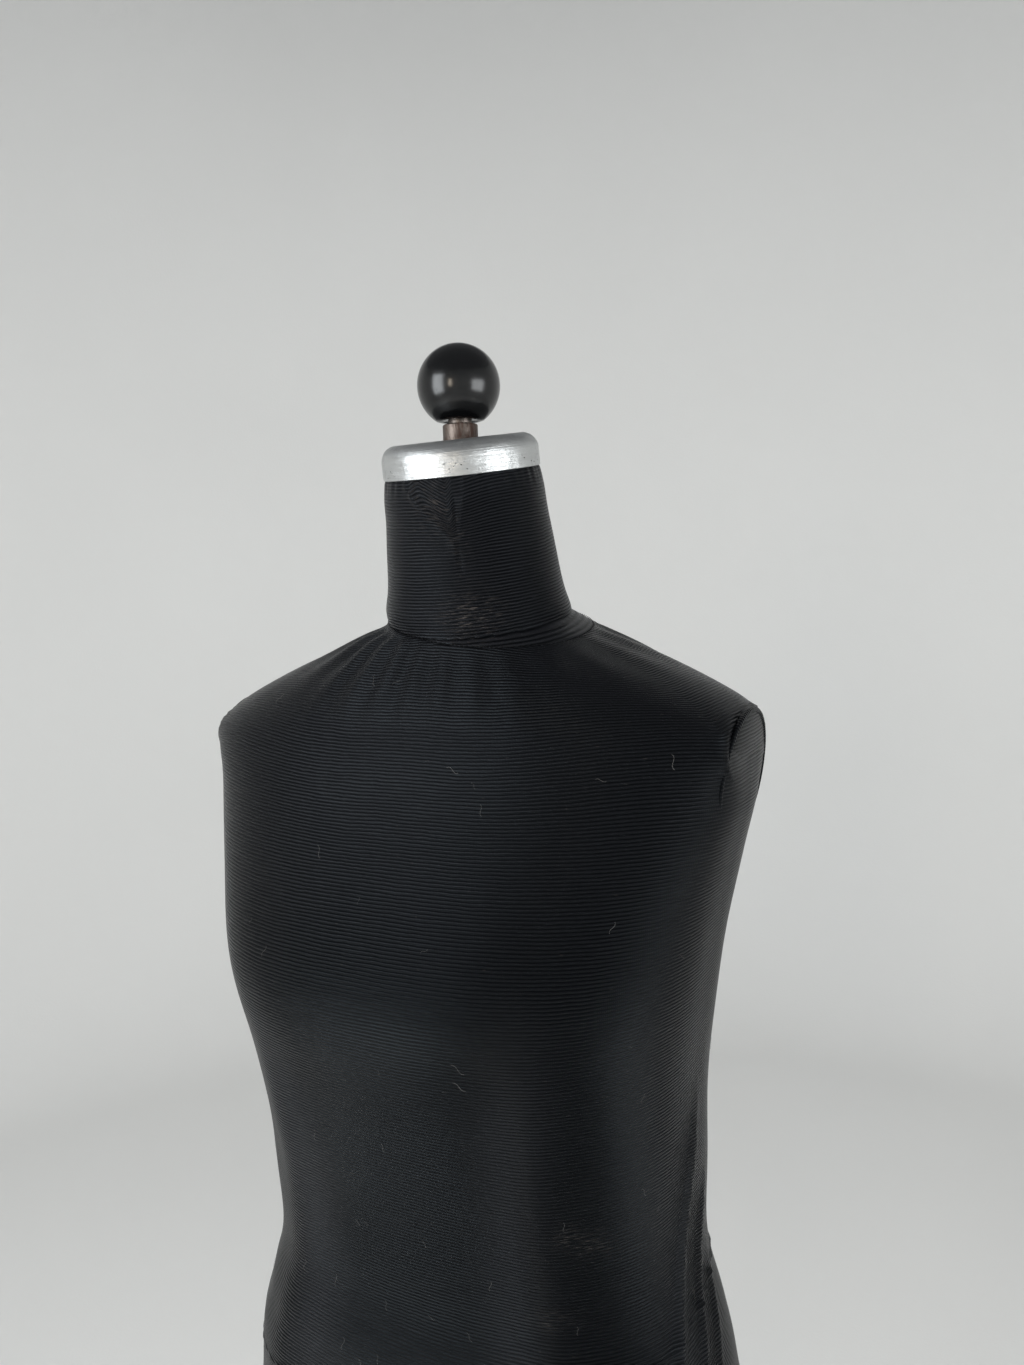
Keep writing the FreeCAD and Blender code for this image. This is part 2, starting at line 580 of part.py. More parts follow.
# ---- The pole and its knob --------------------------------------------------------------------------------------------
def bust_pole():
    """Pipe that runs up through the form."""
    pipe = tube(POLE_RADIUS, POLE_RADIUS - POLE_WALL, POLE_BOTTOM_Z, POLE_TOP_Z)
    lip = turned([
        (POLE_RADIUS - POLE_CHAMFER, POLE_TOP_Z),
        (2 * POLE_RADIUS, POLE_TOP_Z),
        (2 * POLE_RADIUS, POLE_TOP_Z - POLE_CHAMFER),
        (POLE_RADIUS, POLE_TOP_Z - POLE_CHAMFER),
    ])
    return pipe.cut(lip)


def pole_foot():
    """Guide at the pole's lower end that runs in the stand tube."""
    guide = cylinder(TUBE_BORE_RADIUS - RUNNING_CLEARANCE, POLE_BOTTOM_Z - POLE_FOOT_LENGTH, POLE_BOTTOM_Z)
    plug = cylinder(POLE_RADIUS - POLE_WALL - THREAD_CLEARANCE, POLE_BOTTOM_Z, POLE_BOTTOM_Z + POLE_FOOT_PLUG)
    return guide.fuse(plug).removeSplitter()


def pole_top_plug():
    """Threaded plug welded in the pole's top end."""
    return tube(POLE_RADIUS - POLE_WALL - THREAD_CLEARANCE, STUD_RADIUS + THREAD_CLEARANCE,
                POLE_TOP_Z - TOP_PLUG_LENGTH, POLE_TOP_Z)


def knob_stud():
    """Stud that the ball knob screws onto."""
    top = INSERT_Z + INSERT_LENGTH - INSERT_END_WALL - STUD_END_GAP
    return cylinder(STUD_RADIUS, POLE_TOP_Z - TOP_PLUG_LENGTH, top)


def knob_insert():
    """Threaded bush in the ball knob."""
    bush = cylinder(INSERT_RADIUS, INSERT_Z, INSERT_Z + INSERT_LENGTH)
    depth = INSERT_LENGTH - INSERT_END_WALL
    return bush.cut(cylinder(STUD_RADIUS + THREAD_CLEARANCE, INSERT_Z, INSERT_Z + depth))


def ball_knob():
    """Ball with a flat underside and a socket for its bush."""
    ball = Part.makeSphere(BALL_RADIUS, Vector(0, 0, BALL_Z))
    flat = INSERT_Z + INSERT_BELOW_BALL
    ball = ball.cut(cylinder(2 * BALL_RADIUS, flat - BALL_RADIUS, flat))
    socket_top = INSERT_Z + INSERT_LENGTH + STUD_END_GAP
    return ball.cut(cylinder(INSERT_RADIUS + THREAD_CLEARANCE, flat, socket_top))


def thrust_washer():
    """Washer that the form turns on."""
    return tube(THRUST_WASHER_RADIUS, POLE_RADIUS + THREAD_CLEARANCE, COLLAR_TOP_Z, BOSS_Z)


def collar_screw_cylinder(radius, start, end):
    """Radial cylinder through the collar's wall at half its height."""
    middle = COLLAR_TOP_Z - COLLAR_LENGTH / 2
    return Part.makeCylinder(radius, end - start, Vector(start, 0, middle), X_AXIS)


def collar_screw():
    """Grub screw that fixes the collar to the pole, a little below the collar's face."""
    start = POLE_RADIUS + THREAD_CLEARANCE
    return collar_screw_cylinder(COLLAR_SCREW_RADIUS, start, COLLAR_RADIUS - COLLAR_SCREW_RECESS)


def pole_collar():
    """Collar on the pole that carries the form's weight."""
    ring = tube(COLLAR_RADIUS, POLE_RADIUS + THREAD_CLEARANCE, COLLAR_TOP_Z - COLLAR_LENGTH, COLLAR_TOP_Z)
    return ring.cut(collar_screw_cylinder(COLLAR_SCREW_RADIUS + THREAD_CLEARANCE, 0.0, 2 * COLLAR_RADIUS))


# ---- The stand --------------------------------------------------------------------------------------------------------------
def base_feet():
    """Rubber pads under the base."""
    reach = BASE_RADIUS - 2 * FOOT_RADIUS
    pads = [
        cylinder(FOOT_RADIUS, 0, FOOT_THICKNESS, reach * math.cos(angle), reach * math.sin(angle))
        for angle in around(FOOT_COUNT, 30.0)
    ]
    return Part.Compound(pads)


def base_bolt():
    """Hexagon bolt up through the base into the hub."""
    head_top = BASE_WEIGHT_Z + BASE_BOLT_HEAD_HEIGHT + BASE_POCKET_CLEARANCE
    head_low = head_top - BASE_BOLT_HEAD_HEIGHT
    corners = [
        Vector(BASE_BOLT_HEAD_RADIUS * math.cos(angle), BASE_BOLT_HEAD_RADIUS * math.sin(angle), head_low)
        for angle in around(6)
    ]
    face = Part.Face(Part.makePolygon(corners + corners[:1]))
    head = face.extrude(Vector(0, 0, BASE_BOLT_HEAD_HEIGHT))
    return head.fuse(cylinder(BASE_BOLT_RADIUS, head_low, HUB_Z + HUB_FLOOR - SEAT_GAP)).removeSplitter()


def base_washer():
    """Washer under the bolt's head."""
    low = BASE_WEIGHT_Z + BASE_BOLT_HEAD_HEIGHT + BASE_POCKET_CLEARANCE
    return tube(BASE_WASHER_RADIUS, BASE_BOLT_RADIUS + THREAD_CLEARANCE, low, low + BASE_WASHER_THICKNESS)


def base_weight(feet):
    """Cast disc that keeps the form standing."""
    radius = BASE_RADIUS - BASE_COVER_WALL - BASE_COVER_GAP
    disc = cylinder(radius, BASE_WEIGHT_Z, HUB_Z)
    pocket_top = BASE_WEIGHT_Z + BASE_BOLT_HEAD_HEIGHT + BASE_POCKET_CLEARANCE + BASE_WASHER_THICKNESS
    disc = disc.cut(cylinder(BASE_WASHER_RADIUS + BASE_POCKET_CLEARANCE, BASE_WEIGHT_Z, pocket_top))
    disc = disc.cut(cylinder(BASE_BOLT_RADIUS + BASE_POCKET_CLEARANCE, BASE_WEIGHT_Z, HUB_Z))
    return disc.cut(feet.Solids)


def base_dome(inset):
    """Solid under the base cover's outer or inner face."""
    radius = BASE_RADIUS - inset
    skirt_top = HUB_Z + BASE_COVER_GAP + BASE_COVER_WALL - inset
    crown = skirt_top + BASE_COVER_RISE
    hub_edge = HUB_FLANGE_RADIUS + BASE_COVER_GAP
    dome = turned([(0, BASE_FLOOR_GAP), (radius, BASE_FLOOR_GAP), (radius, skirt_top), (hub_edge, crown), (0, crown)])
    rounded = [
        edge for edge in dome.Edges
        if len(edge.Vertexes) == 1 and edge.BoundBox.ZMin > BASE_FLOOR_GAP and edge.BoundBox.ZLength < SEAT_GAP
    ]
    return dome.makeFillet(BASE_COVER_EDGE_RADIUS - inset, rounded)


def base_cover():
    """Pressed cover over the base weight, holed for the hub."""
    cover = base_dome(0.0).cut(base_dome(BASE_COVER_WALL))
    cover = cover.cut(cylinder(BASE_RADIUS - BASE_COVER_WALL, 0, BASE_FLOOR_GAP + BASE_COVER_WALL))
    return cover.cut(cylinder(HUB_RADIUS + THREAD_CLEARANCE, 0, SOCKET_Z + HUB_SOCKET_DEPTH))


def base_hub():
    """Flanged socket that holds the stand tube."""
    hub = cylinder(HUB_FLANGE_RADIUS, HUB_Z, HUB_Z + HUB_FLANGE_THICKNESS)
    hub = hub.fuse(cylinder(HUB_RADIUS, HUB_Z, SOCKET_Z + HUB_SOCKET_DEPTH)).removeSplitter()
    hub = hub.cut(cylinder(TUBE_RADIUS + THREAD_CLEARANCE, SOCKET_Z, SOCKET_Z + HUB_SOCKET_DEPTH))
    return hub.cut(cylinder(BASE_BOLT_RADIUS + THREAD_CLEARANCE, HUB_Z, SOCKET_Z))


def clamp_hole(radius):
    """Cutter for the clamp screw's way in towards the pole."""
    return Part.makeCylinder(radius, CLAMP_BOSS_REACH, Vector(0, 0, CLAMP_Z), X_AXIS)


def stand_tube():
    """Outer tube of the stand."""
    pipe = tube(TUBE_RADIUS, TUBE_BORE_RADIUS, SOCKET_Z, TUBE_TOP_Z)
    return pipe.cut(clamp_hole(CLAMP_SCREW_RADIUS + FREE_CLEARANCE))


def tube_bush():
    """Guide bush in the stand tube's mouth."""
    bush = cylinder(TUBE_BORE_RADIUS - THREAD_CLEARANCE, TUBE_TOP_Z - TUBE_BUSH_LENGTH, TUBE_TOP_Z)
    bush = bush.fuse(cylinder(TUBE_RADIUS, TUBE_TOP_Z, TUBE_TOP_Z + TUBE_BUSH_FLANGE)).removeSplitter()
    bush = bush.cut(pole_bore(BUSH_BORE_RADIUS, TUBE_TOP_Z - TUBE_BUSH_LENGTH, TUBE_TOP_Z + TUBE_BUSH_FLANGE))
    return bush.cut(clamp_hole(CLAMP_SCREW_RADIUS + FREE_CLEARANCE))


def clamp_collar():
    """Collar round the tube's top with a threaded boss."""
    ring = cylinder(CLAMP_RADIUS, TUBE_TOP_Z - CLAMP_LENGTH, TUBE_TOP_Z)
    boss = Part.makeCylinder(CLAMP_BOSS_RADIUS, CLAMP_BOSS_REACH, Vector(0, 0, CLAMP_Z), X_AXIS)
    ring = ring.fuse(boss).removeSplitter()
    ring = ring.cut(cylinder(TUBE_RADIUS + THREAD_CLEARANCE, TUBE_TOP_Z - CLAMP_LENGTH, TUBE_TOP_Z))
    return ring.cut(clamp_hole(CLAMP_SCREW_RADIUS + THREAD_CLEARANCE))


def clamp_screw():
    """Screw that presses on the pole."""
    tip = POLE_RADIUS + CLAMP_TIP_GAP
    return Part.makeCylinder(CLAMP_SCREW_RADIUS, CLAMP_SCREW_REACH - tip, Vector(tip, 0, CLAMP_Z), X_AXIS)


def clamp_knob():
    """Scalloped hand knob on the clamp screw."""
    back = CLAMP_SCREW_REACH + CLAMP_KNOB_FACE_WALL - CLAMP_KNOB_LENGTH
    knob = Part.makeCylinder(CLAMP_KNOB_RADIUS, CLAMP_KNOB_LENGTH, Vector(back, 0, CLAMP_Z), X_AXIS)
    scallops = [
        Part.makeCylinder(
            CLAMP_KNOB_LOBE_RADIUS, CLAMP_KNOB_LENGTH,
            Vector(back, CLAMP_KNOB_RADIUS * 1.15 * math.cos(angle),
                   CLAMP_Z + CLAMP_KNOB_RADIUS * 1.15 * math.sin(angle)),
            X_AXIS,
        )
        for angle in around(CLAMP_KNOB_LOBES)
    ]
    knob = knob.cut(scallops)
    socket = Part.makeCylinder(
        CLAMP_SCREW_RADIUS + THREAD_CLEARANCE, CLAMP_KNOB_LENGTH - CLAMP_KNOB_FACE_WALL + SEAT_GAP,
        Vector(back, 0, CLAMP_Z), X_AXIS,
    )
    return knob.cut(socket)


# ---- Assembly -------------------------------------------------------------------------------------------------------------------
def build():
    """Every sub-part by its node's name."""
    nodes = {}
    feet = base_feet()
    nodes["base_feet"] = feet
    nodes["base_weight"] = base_weight(feet)
    nodes["base_cover"] = base_cover()
    nodes["base_bolt"] = base_bolt()
    nodes["base_washer"] = base_washer()
    nodes["base_hub"] = base_hub()
    nodes["stand_tube"] = stand_tube()
    nodes["tube_bush"] = tube_bush()
    nodes["clamp_collar"] = clamp_collar()
    nodes["clamp_screw"] = clamp_screw()
    nodes["clamp_knob"] = clamp_knob()

    nodes["bust_pole"] = bust_pole()
    nodes["pole_foot"] = pole_foot()
    nodes["pole_top_plug"] = pole_top_plug()
    nodes["knob_stud"] = knob_stud()
    nodes["thrust_washer"] = thrust_washer()
    nodes["collar_screw"] = collar_screw()
    nodes["pole_collar"] = pole_collar()
    nodes["knob_insert"] = knob_insert()
    nodes["ball_knob"] = ball_knob()

    edge_screws = board_screws()
    crown_screws = neck_screws()
    plate_screws = flange_screws()
    tacks = hem_tacks()
    brads = cap_brads()
    nodes["board_screws"] = edge_screws
    nodes["neck_screws"] = crown_screws
    nodes["flange_screws"] = plate_screws
    nodes["hem_tacks"] = tacks
    nodes["cap_brads"] = on_neck(brads)
    nodes["neck_cap"] = neck_cap(brads)
    nodes["neck_washer"] = neck_washer()
    nodes["neck_cover"] = neck_cover().cut(nodes["cap_brads"].Solids)
    nodes["neck_block"] = neck_block(crown_screws).cut(nodes["cap_brads"].Solids)
    nodes["neck_bush"] = neck_bush()
    nodes["torso_cover"] = torso_cover()
    both = Part.Compound([edge_screws, crown_screws])
    nodes["front_shell"], nodes["back_shell"] = shell_halves(both)
    nodes["right_side_strip"], nodes["left_side_strip"] = side_strips()
    nodes["left_arm_plate"] = arm_plate(1)
    nodes["right_arm_plate"] = arm_plate(-1)
    nodes["bottom_board"] = bottom_board(Part.Compound([edge_screws, plate_screws, tacks]))
    nodes["hem_band"] = hem_band(tacks)
    nodes["bottom_flange"] = bottom_flange(plate_screws)
    nodes["flange_bush"] = flange_bush()
    return nodes


os.makedirs("parts", exist_ok=True)
for name, shape in build().items():
    shape.exportStep(os.path.join("parts", name + ".step"))
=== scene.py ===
"""Looks of a rib-knit covered dress form on a pole stand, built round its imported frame."""
import logging
import math
from dataclasses import dataclass
from enum import Enum

import bmesh
import bpy
import numpy as np
from mathutils import Matrix, Vector
from mathutils.bvhtree import BVHTree


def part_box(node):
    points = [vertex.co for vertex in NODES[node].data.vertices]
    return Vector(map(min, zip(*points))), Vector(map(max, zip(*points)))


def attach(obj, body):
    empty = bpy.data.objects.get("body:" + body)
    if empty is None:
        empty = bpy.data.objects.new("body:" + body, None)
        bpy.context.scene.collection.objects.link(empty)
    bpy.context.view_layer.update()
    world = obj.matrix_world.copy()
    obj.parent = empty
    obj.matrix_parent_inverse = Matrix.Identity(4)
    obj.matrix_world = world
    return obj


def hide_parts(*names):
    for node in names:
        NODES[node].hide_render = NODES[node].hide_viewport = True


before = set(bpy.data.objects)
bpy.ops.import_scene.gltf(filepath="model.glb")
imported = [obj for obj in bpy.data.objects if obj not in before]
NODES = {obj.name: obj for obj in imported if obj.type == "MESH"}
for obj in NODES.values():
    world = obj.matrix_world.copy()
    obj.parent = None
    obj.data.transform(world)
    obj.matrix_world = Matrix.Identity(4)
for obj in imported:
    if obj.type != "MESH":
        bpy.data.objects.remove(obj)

LOG = logging.getLogger("dress_form")
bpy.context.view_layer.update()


# ---- Shader graphs -------------------------------------------------------------------------
class Value:
    """A socket of a shader graph that takes part in Python arithmetic."""

    def __init__(self, graph: "Graph", socket: bpy.types.NodeSocket) -> None:
        """Keeps the graph and the socket that carries the value."""
        self.graph = graph
        self.socket = socket

    def _maths(self, operation: str, first: object, second: object = None) -> "Value":
        """Adds one Math node.

        Args:
            operation: the node's operation.
            first: value or number of its first socket.
            second: value or number of its second socket.

        Returns:
            The node's result.
        """
        sockets = {index: v for index, v in enumerate((first, second)) if v is not None}
        return self.graph.node("ShaderNodeMath", {"operation": operation}, sockets)

    def __add__(self, other: object) -> "Value":
        """self + other."""
        return self._maths("ADD", self, other)

    def __radd__(self, other: object) -> "Value":
        """other + self."""
        return self._maths("ADD", other, self)

    def __sub__(self, other: object) -> "Value":
        """self - other."""
        return self._maths("SUBTRACT", self, other)

    def __rsub__(self, other: object) -> "Value":
        """other - self."""
        return self._maths("SUBTRACT", other, self)

    def __mul__(self, other: object) -> "Value":
        """self * other."""
        return self._maths("MULTIPLY", self, other)

    def __rmul__(self, other: object) -> "Value":
        """other * self."""
        return self._maths("MULTIPLY", other, self)

    def __truediv__(self, other: object) -> "Value":
        """self / other."""
        return self._maths("DIVIDE", self, other)

    def __pow__(self, other: object) -> "Value":
        """self to the power of other."""
        return self._maths("POWER", self, other)

    def cosine(self) -> "Value":
        """Cosine of an angle in radians."""
        return self._maths("COSINE", self)

    def above(self, edge: float, width: float) -> "Value":
        """Smooth step from 0 below the edge to 1 a width above it.

        Args:
            edge: where the step starts.
            width: how far it takes; a negative width turns the step round.

        Returns:
            The step, from 0 to 1.
        """
        low, high = (edge, edge + width) if width > 0 else (edge + width, edge)
        ends = (0.0, 1.0) if width > 0 else (1.0, 0.0)
        return self.graph.node(
            "ShaderNodeMapRange", {"interpolation_type": "SMOOTHSTEP"},
            {"Value": self, "From Min": low, "From Max": high, "To Min": ends[0], "To Max": ends[1]},
        )


class Graph:
    """One material's node tree."""

    def __init__(self, name: str) -> None:
        """Makes an empty material with an output node."""
        self.material = bpy.data.materials.new(name)
        self.material.use_nodes = True
        self.nodes = self.material.node_tree.nodes
        self.links = self.material.node_tree.links
        self.nodes.clear()
        self.output = self.nodes.new("ShaderNodeOutputMaterial")

    def node(self, kind: str, settings: dict | None = None, sockets: dict | None = None,
             output: str | int = 0) -> Value:
        """Adds a node.

        Args:
            kind: the node's type name.
            settings: attributes of the node, set first.
            sockets: values or links of its input sockets, by name or index.
            output: name or index of the output that is wanted.

        Returns:
            That output.
        """
        made = self.nodes.new(kind)
        for key, setting in (settings or {}).items():
            setattr(made, key, setting)
        for key, value in (sockets or {}).items():
            if isinstance(value, Value):
                self.links.new(value.socket, made.inputs[key])
            else:
                made.inputs[key].default_value = value
        return Value(self, made.outputs[output])

    def object_space(self) -> Value:
        """The piece's own coordinates in metres."""
        return self.node("ShaderNodeTexCoord", output="Object")

    def mapped(self, vector: Value, scale: tuple, rotation: tuple = (0.0, 0.0, 0.0)) -> Value:
        """Coordinates stretched and turned by a Mapping node."""
        return self.node("ShaderNodeMapping", None, {"Vector": vector, "Scale": scale, "Rotation": rotation})

    def uv(self, name: str) -> tuple[Value, Value, Value]:
        """A named UV map.

        Args:
            name: the map's name.

        Returns:
            The vector, its first and its second component.
        """
        vector = self.node("ShaderNodeUVMap", {"uv_map": name})
        split = self.nodes.new("ShaderNodeSeparateXYZ")
        self.links.new(vector.socket, split.inputs[0])
        return vector, Value(self, split.outputs[0]), Value(self, split.outputs[1])

    def attribute(self, name: str) -> Value:
        """A number stored on the mesh's points."""
        return self.node("ShaderNodeAttribute", {"attribute_name": name}, output="Fac")

    def noise(self, vector: Value, scale: float, detail: float = 3.0, roughness: float = 0.55) -> Value:
        """Noise from 0 to 1 at a scale in waves per unit."""
        sockets = {"Vector": vector, "Scale": scale, "Detail": detail, "Roughness": roughness}
        return self.node("ShaderNodeTexNoise", None, sockets)

    def cells(self, vector: Value, scale: float) -> Value:
        """Distance to the nearest of scattered points."""
        sockets = {"Vector": vector, "Scale": scale, "Randomness": 1.0}
        return self.node("ShaderNodeTexVoronoi", None, sockets)

    def mix(self, share: object, first: object, second: object) -> Value:
        """Colour between two colours."""
        sockets = {0: share, 6: first, 7: second}
        return self.node("ShaderNodeMix", {"data_type": "RGBA"}, sockets, output=2)

    def bump(self, height: Value, distance: float) -> Value:
        """Normal of a height in units of distance, in metres."""
        sockets = {"Height": height, "Distance": distance, "Strength": 1.0}
        return self.node("ShaderNodeBump", None, sockets)

    def surface(self, **sockets: object) -> bpy.types.Material:
        """Ends the graph in a Principled surface.

        Args:
            sockets: its sockets, with underscores for spaces in their names.

        Returns:
            The finished material.
        """
        named = {key.replace("_", " "): value for key, value in sockets.items()}
        shader = self.node("ShaderNodeBsdfPrincipled", None, named)
        self.links.new(shader.socket, self.output.inputs["Surface"])
        return self.material


def grey(value: float) -> tuple[float, float, float, float]:
    """A neutral colour."""
    return (value, value, value, 1.0)


# ---- Finishes --------------------------------------------------------------------------------
@dataclass(frozen=True)
class RibKnit:
    """Black stretch knit with round horizontal ribs, a soft sheen, painted shade in the rib hollows and
    painted sheen on the crests.
    """

    name: str = "rib_knit"
    rib_pitch: float = 0.00202
    wale_pitch: float = 0.0009
    rib_height: float = 0.00042
    # Colour of the rib hollows: painted shade in the grooves.
    shaded_hollow: tuple = (0.0004, 0.0005, 0.0007, 1.0)
    crest: tuple = (0.0016, 0.0018, 0.0024, 1.0)
    # Lighter crest colour: partly knit pulled open, partly painted sheen and painted light.
    opened_and_sheen: tuple = (0.0165, 0.0170, 0.0195, 1.0)
    worn: tuple = (0.085, 0.073, 0.066, 1.0)

    def make(self) -> bpy.types.Material:
        """Builds the material, which reads the UV map "Knit" in metres, "wear" and "stretch"; "stretch" is
        partly knit pulled open and partly painted sheen and painted light.
        """
        g = Graph(self.name)
        vector, around, along = g.uv("Knit")
        drift = g.noise(g.mapped(vector, (12.0, 30.0, 1.0)), 1.0, 2.0)
        wander = g.noise(g.mapped(vector, (90.0, 140.0, 1.0)), 1.0, 1.0)
        place = along + (drift - 0.5) * (1.3 * self.rib_pitch) + (wander - 0.5) * (0.35 * self.rib_pitch)
        rib = (place * (2.0 * math.pi / self.rib_pitch)).cosine() * 0.5 + 0.5
        crown = rib ** 0.8
        wale = (around * (2.0 * math.pi / self.wale_pitch)).cosine() * 0.5 + 0.5
        patchy = g.noise(g.mapped(vector, (9.0, 5.0, 1.0)), 1.0, 4.0)
        thread = g.noise(g.mapped(vector, (1100.0, 1500.0, 1.0)), 1.0, 2.0)
        wear = g.attribute("wear")
        fuzz = g.noise(g.mapped(vector, (150.0, 1500.0, 1.0), (0.0, 0.0, 0.12)), 1.0, 4.0, 0.7)
        lint = g.cells(g.mapped(vector, (70.0, 150.0, 1.0)), 1.0).above(0.075, -0.05)
        # Painted shade: the rib hollows get a darker colour than the crests; thread and patch noise vary it.
        lit = crown * (thread * 0.7 + 0.65) * (patchy * 0.7 + 0.65)
        tint = g.mix(lit, self.shaded_hollow, self.crest)
        # Crests lighten where the stretch mark is high: partly knit pulled open, partly painted sheen bands
        # and painted light.
        tint = g.mix(lit * g.attribute("stretch"), tint, self.opened_and_sheen)
        rubbed = wear * fuzz.above(0.53, 0.12) + lint * 0.12
        tint = g.mix(rubbed, tint, self.worn)
        height = crown + wale * crown * 0.12 + thread * 0.14 + rubbed * 0.25
        normal = g.bump(height, self.rib_height)
        rough = 0.34 - crown * 0.06 + (patchy - 0.5) * 0.25 + rubbed * 0.2
        return g.surface(
            Base_Color=tint, Roughness=rough, Normal=normal, Sheen_Weight=0.006, Sheen_Roughness=0.4,
            Sheen_Tint=(0.60, 0.66, 0.80, 1.0), Specular_IOR_Level=0.085,
            Specular_Tint=(0.78, 0.90, 1.0, 1.0),
        )


@dataclass(frozen=True)
class SpunAluminium:
    """Dulled spun aluminium with pits, rubs and scratches; its dull mark also carries painted shade."""

    name: str = "spun_aluminium"
    bright: tuple = (0.60, 0.61, 0.61, 1.0)
    # Colour of the dull film, also used as painted shade on the cap's ends.
    dull_and_painted_shade: tuple = (0.46, 0.47, 0.47, 1.0)
    skirt_start: float = 0.0100
    skirt_end: float = 0.0170
    pit: tuple = (0.05, 0.045, 0.04, 1.0)

    def make(self) -> bpy.types.Material:
        """Builds the material, which reads the UV map "Turned" in metres and the attribute "dull"."""
        g = Graph(self.name)
        vector, _, along = g.uv("Turned")
        space = g.object_space()
        spin = g.noise(g.mapped(vector, (6.0, 2600.0, 1.0)), 1.0, 2.0)
        cloud = g.noise(space, 95.0, 5.0, 0.65)
        smear = g.noise(g.mapped(vector, (60.0, 260.0, 1.0)), 1.0, 4.0)
        speck = g.cells(g.mapped(vector, (300.0, 520.0, 1.0)), 1.0).above(0.21, -0.07)
        patch = g.noise(g.mapped(vector, (42.0, 70.0, 1.0)), 1.0, 2.0).above(0.47, 0.10)
        nick = g.cells(g.mapped(vector, (90.0, 330.0, 1.0), (0.0, 0.0, 0.35)), 1.0).above(0.085, -0.04)
        low = along.above(self.skirt_start, 0.0005) * along.above(self.skirt_end, -0.0025)
        marks = speck * patch * low + nick * patch * 0.9
        # The dull mark darkens and roughens the metal: a dull film over the top of the cap, and painted shade
        # on its two ends as the camera sees them.
        film_and_painted_shade = g.attribute("dull_and_painted_shade") * (cloud * 0.6 + 0.55)
        tint = g.mix(film_and_painted_shade, self.bright, self.dull_and_painted_shade)
        blotch = cloud.above(0.50, 0.12)
        tint = g.mix(blotch * 0.45, tint, grey(0.42))
        tint = g.mix(marks, tint, self.pit)
        rough = 0.25 + film_and_painted_shade * 0.20 + smear * 0.14 + blotch * 0.10 + marks * 0.4
        height = spin * 0.35 + cloud * 0.9 + smear * 0.5 - marks * 1.2
        return g.surface(
            Base_Color=tint, Metallic=1.0 - marks * 0.7, Roughness=rough, Normal=g.bump(height, 0.00055),
        )


@dataclass(frozen=True)
class RustyPipe:
    """Bare steel pipe with brown rust in streaks."""

    name: str = "rusty_pipe"
    bare: tuple = (0.050, 0.038, 0.032, 1.0)
    polished: tuple = (0.21, 0.175, 0.155, 1.0)
    brown: tuple = (0.055, 0.027, 0.018, 1.0)

    def make(self) -> bpy.types.Material:
        """Builds the material on the piece's own coordinates."""
        g = Graph(self.name)
        space = g.object_space()
        streak = g.noise(g.mapped(space, (340.0, 340.0, 60.0)), 1.0, 5.0, 0.6)
        blotch = g.noise(space, 120.0, 4.0)
        rust = (streak * 0.6 + blotch * 0.5).above(0.50, 0.16)
        grain = g.noise(g.mapped(space, (700.0, 700.0, 2200.0)), 1.0, 3.0)
        tint = g.mix(streak, self.bare, self.polished)
        tint = g.mix(rust, tint, self.brown)
        return g.surface(
            Base_Color=tint, Metallic=0.95 - rust * 0.75, Roughness=0.36 + rust * 0.30 + grain * 0.12,
            Normal=g.bump(grain * 0.4 + rust * 0.8 + blotch * 0.4, 0.00018),
        )


@dataclass(frozen=True)
class Phenolic:
    """Polished black ball with faint dust and fine rubs."""

    name: str = "black_phenolic"
    black: tuple = (0.0022, 0.0024, 0.0028, 1.0)
    dusty: tuple = grey(0.05)

    def make(self) -> bpy.types.Material:
        """Builds the material on the piece's own coordinates."""
        g = Graph(self.name)
        space = g.object_space()
        peel = g.noise(space, 210.0, 3.0)
        dust = g.noise(space, 1500.0, 3.0, 0.7).above(0.63, 0.10)
        haze = g.noise(space, 60.0, 4.0)
        tint = g.mix(dust * 0.25, self.black, self.dusty)
        return g.surface(
            Base_Color=tint, Roughness=0.16 + haze * 0.10 + dust * 0.2,
            Normal=g.bump(peel + dust * 0.3, 0.00006), Specular_IOR_Level=0.5,
        )


class Metal(Enum):
    """Plain metals of the fittings: colour, roughness, wear."""

    DARK_STEEL = ("dark_steel", (0.17, 0.145, 0.13), 0.42, 0.35)
    ZINC = ("zinc_steel", (0.60, 0.60, 0.59), 0.34, 0.25)
    TUBE_STEEL = ("stand_steel", (0.50, 0.49, 0.48), 0.26, 0.20)
    BRASS = ("brass_brad", (0.72, 0.54, 0.24), 0.30, 0.30)


@dataclass(frozen=True)
class DrawnMetal:
    """Metal with drawing lines, stains and a little bump."""

    kind: Metal

    def make(self) -> bpy.types.Material:
        """Builds the material on the piece's own coordinates."""
        name, colour, rough, wear = self.kind.value
        g = Graph(name)
        space = g.object_space()
        lines = g.noise(g.mapped(space, (1400.0, 1400.0, 90.0)), 1.0, 3.0)
        stain = g.noise(space, 55.0, 5.0, 0.62).above(0.50, 0.25)
        tint = g.mix(stain * wear, colour + (1.0,), tuple(0.45 * c for c in colour) + (1.0,))
        return g.surface(
            Base_Color=tint, Metallic=1.0, Roughness=rough + stain * 0.18 + lines * 0.08,
            Normal=g.bump(lines * 0.5 + stain * 0.3, 0.00009),
        )


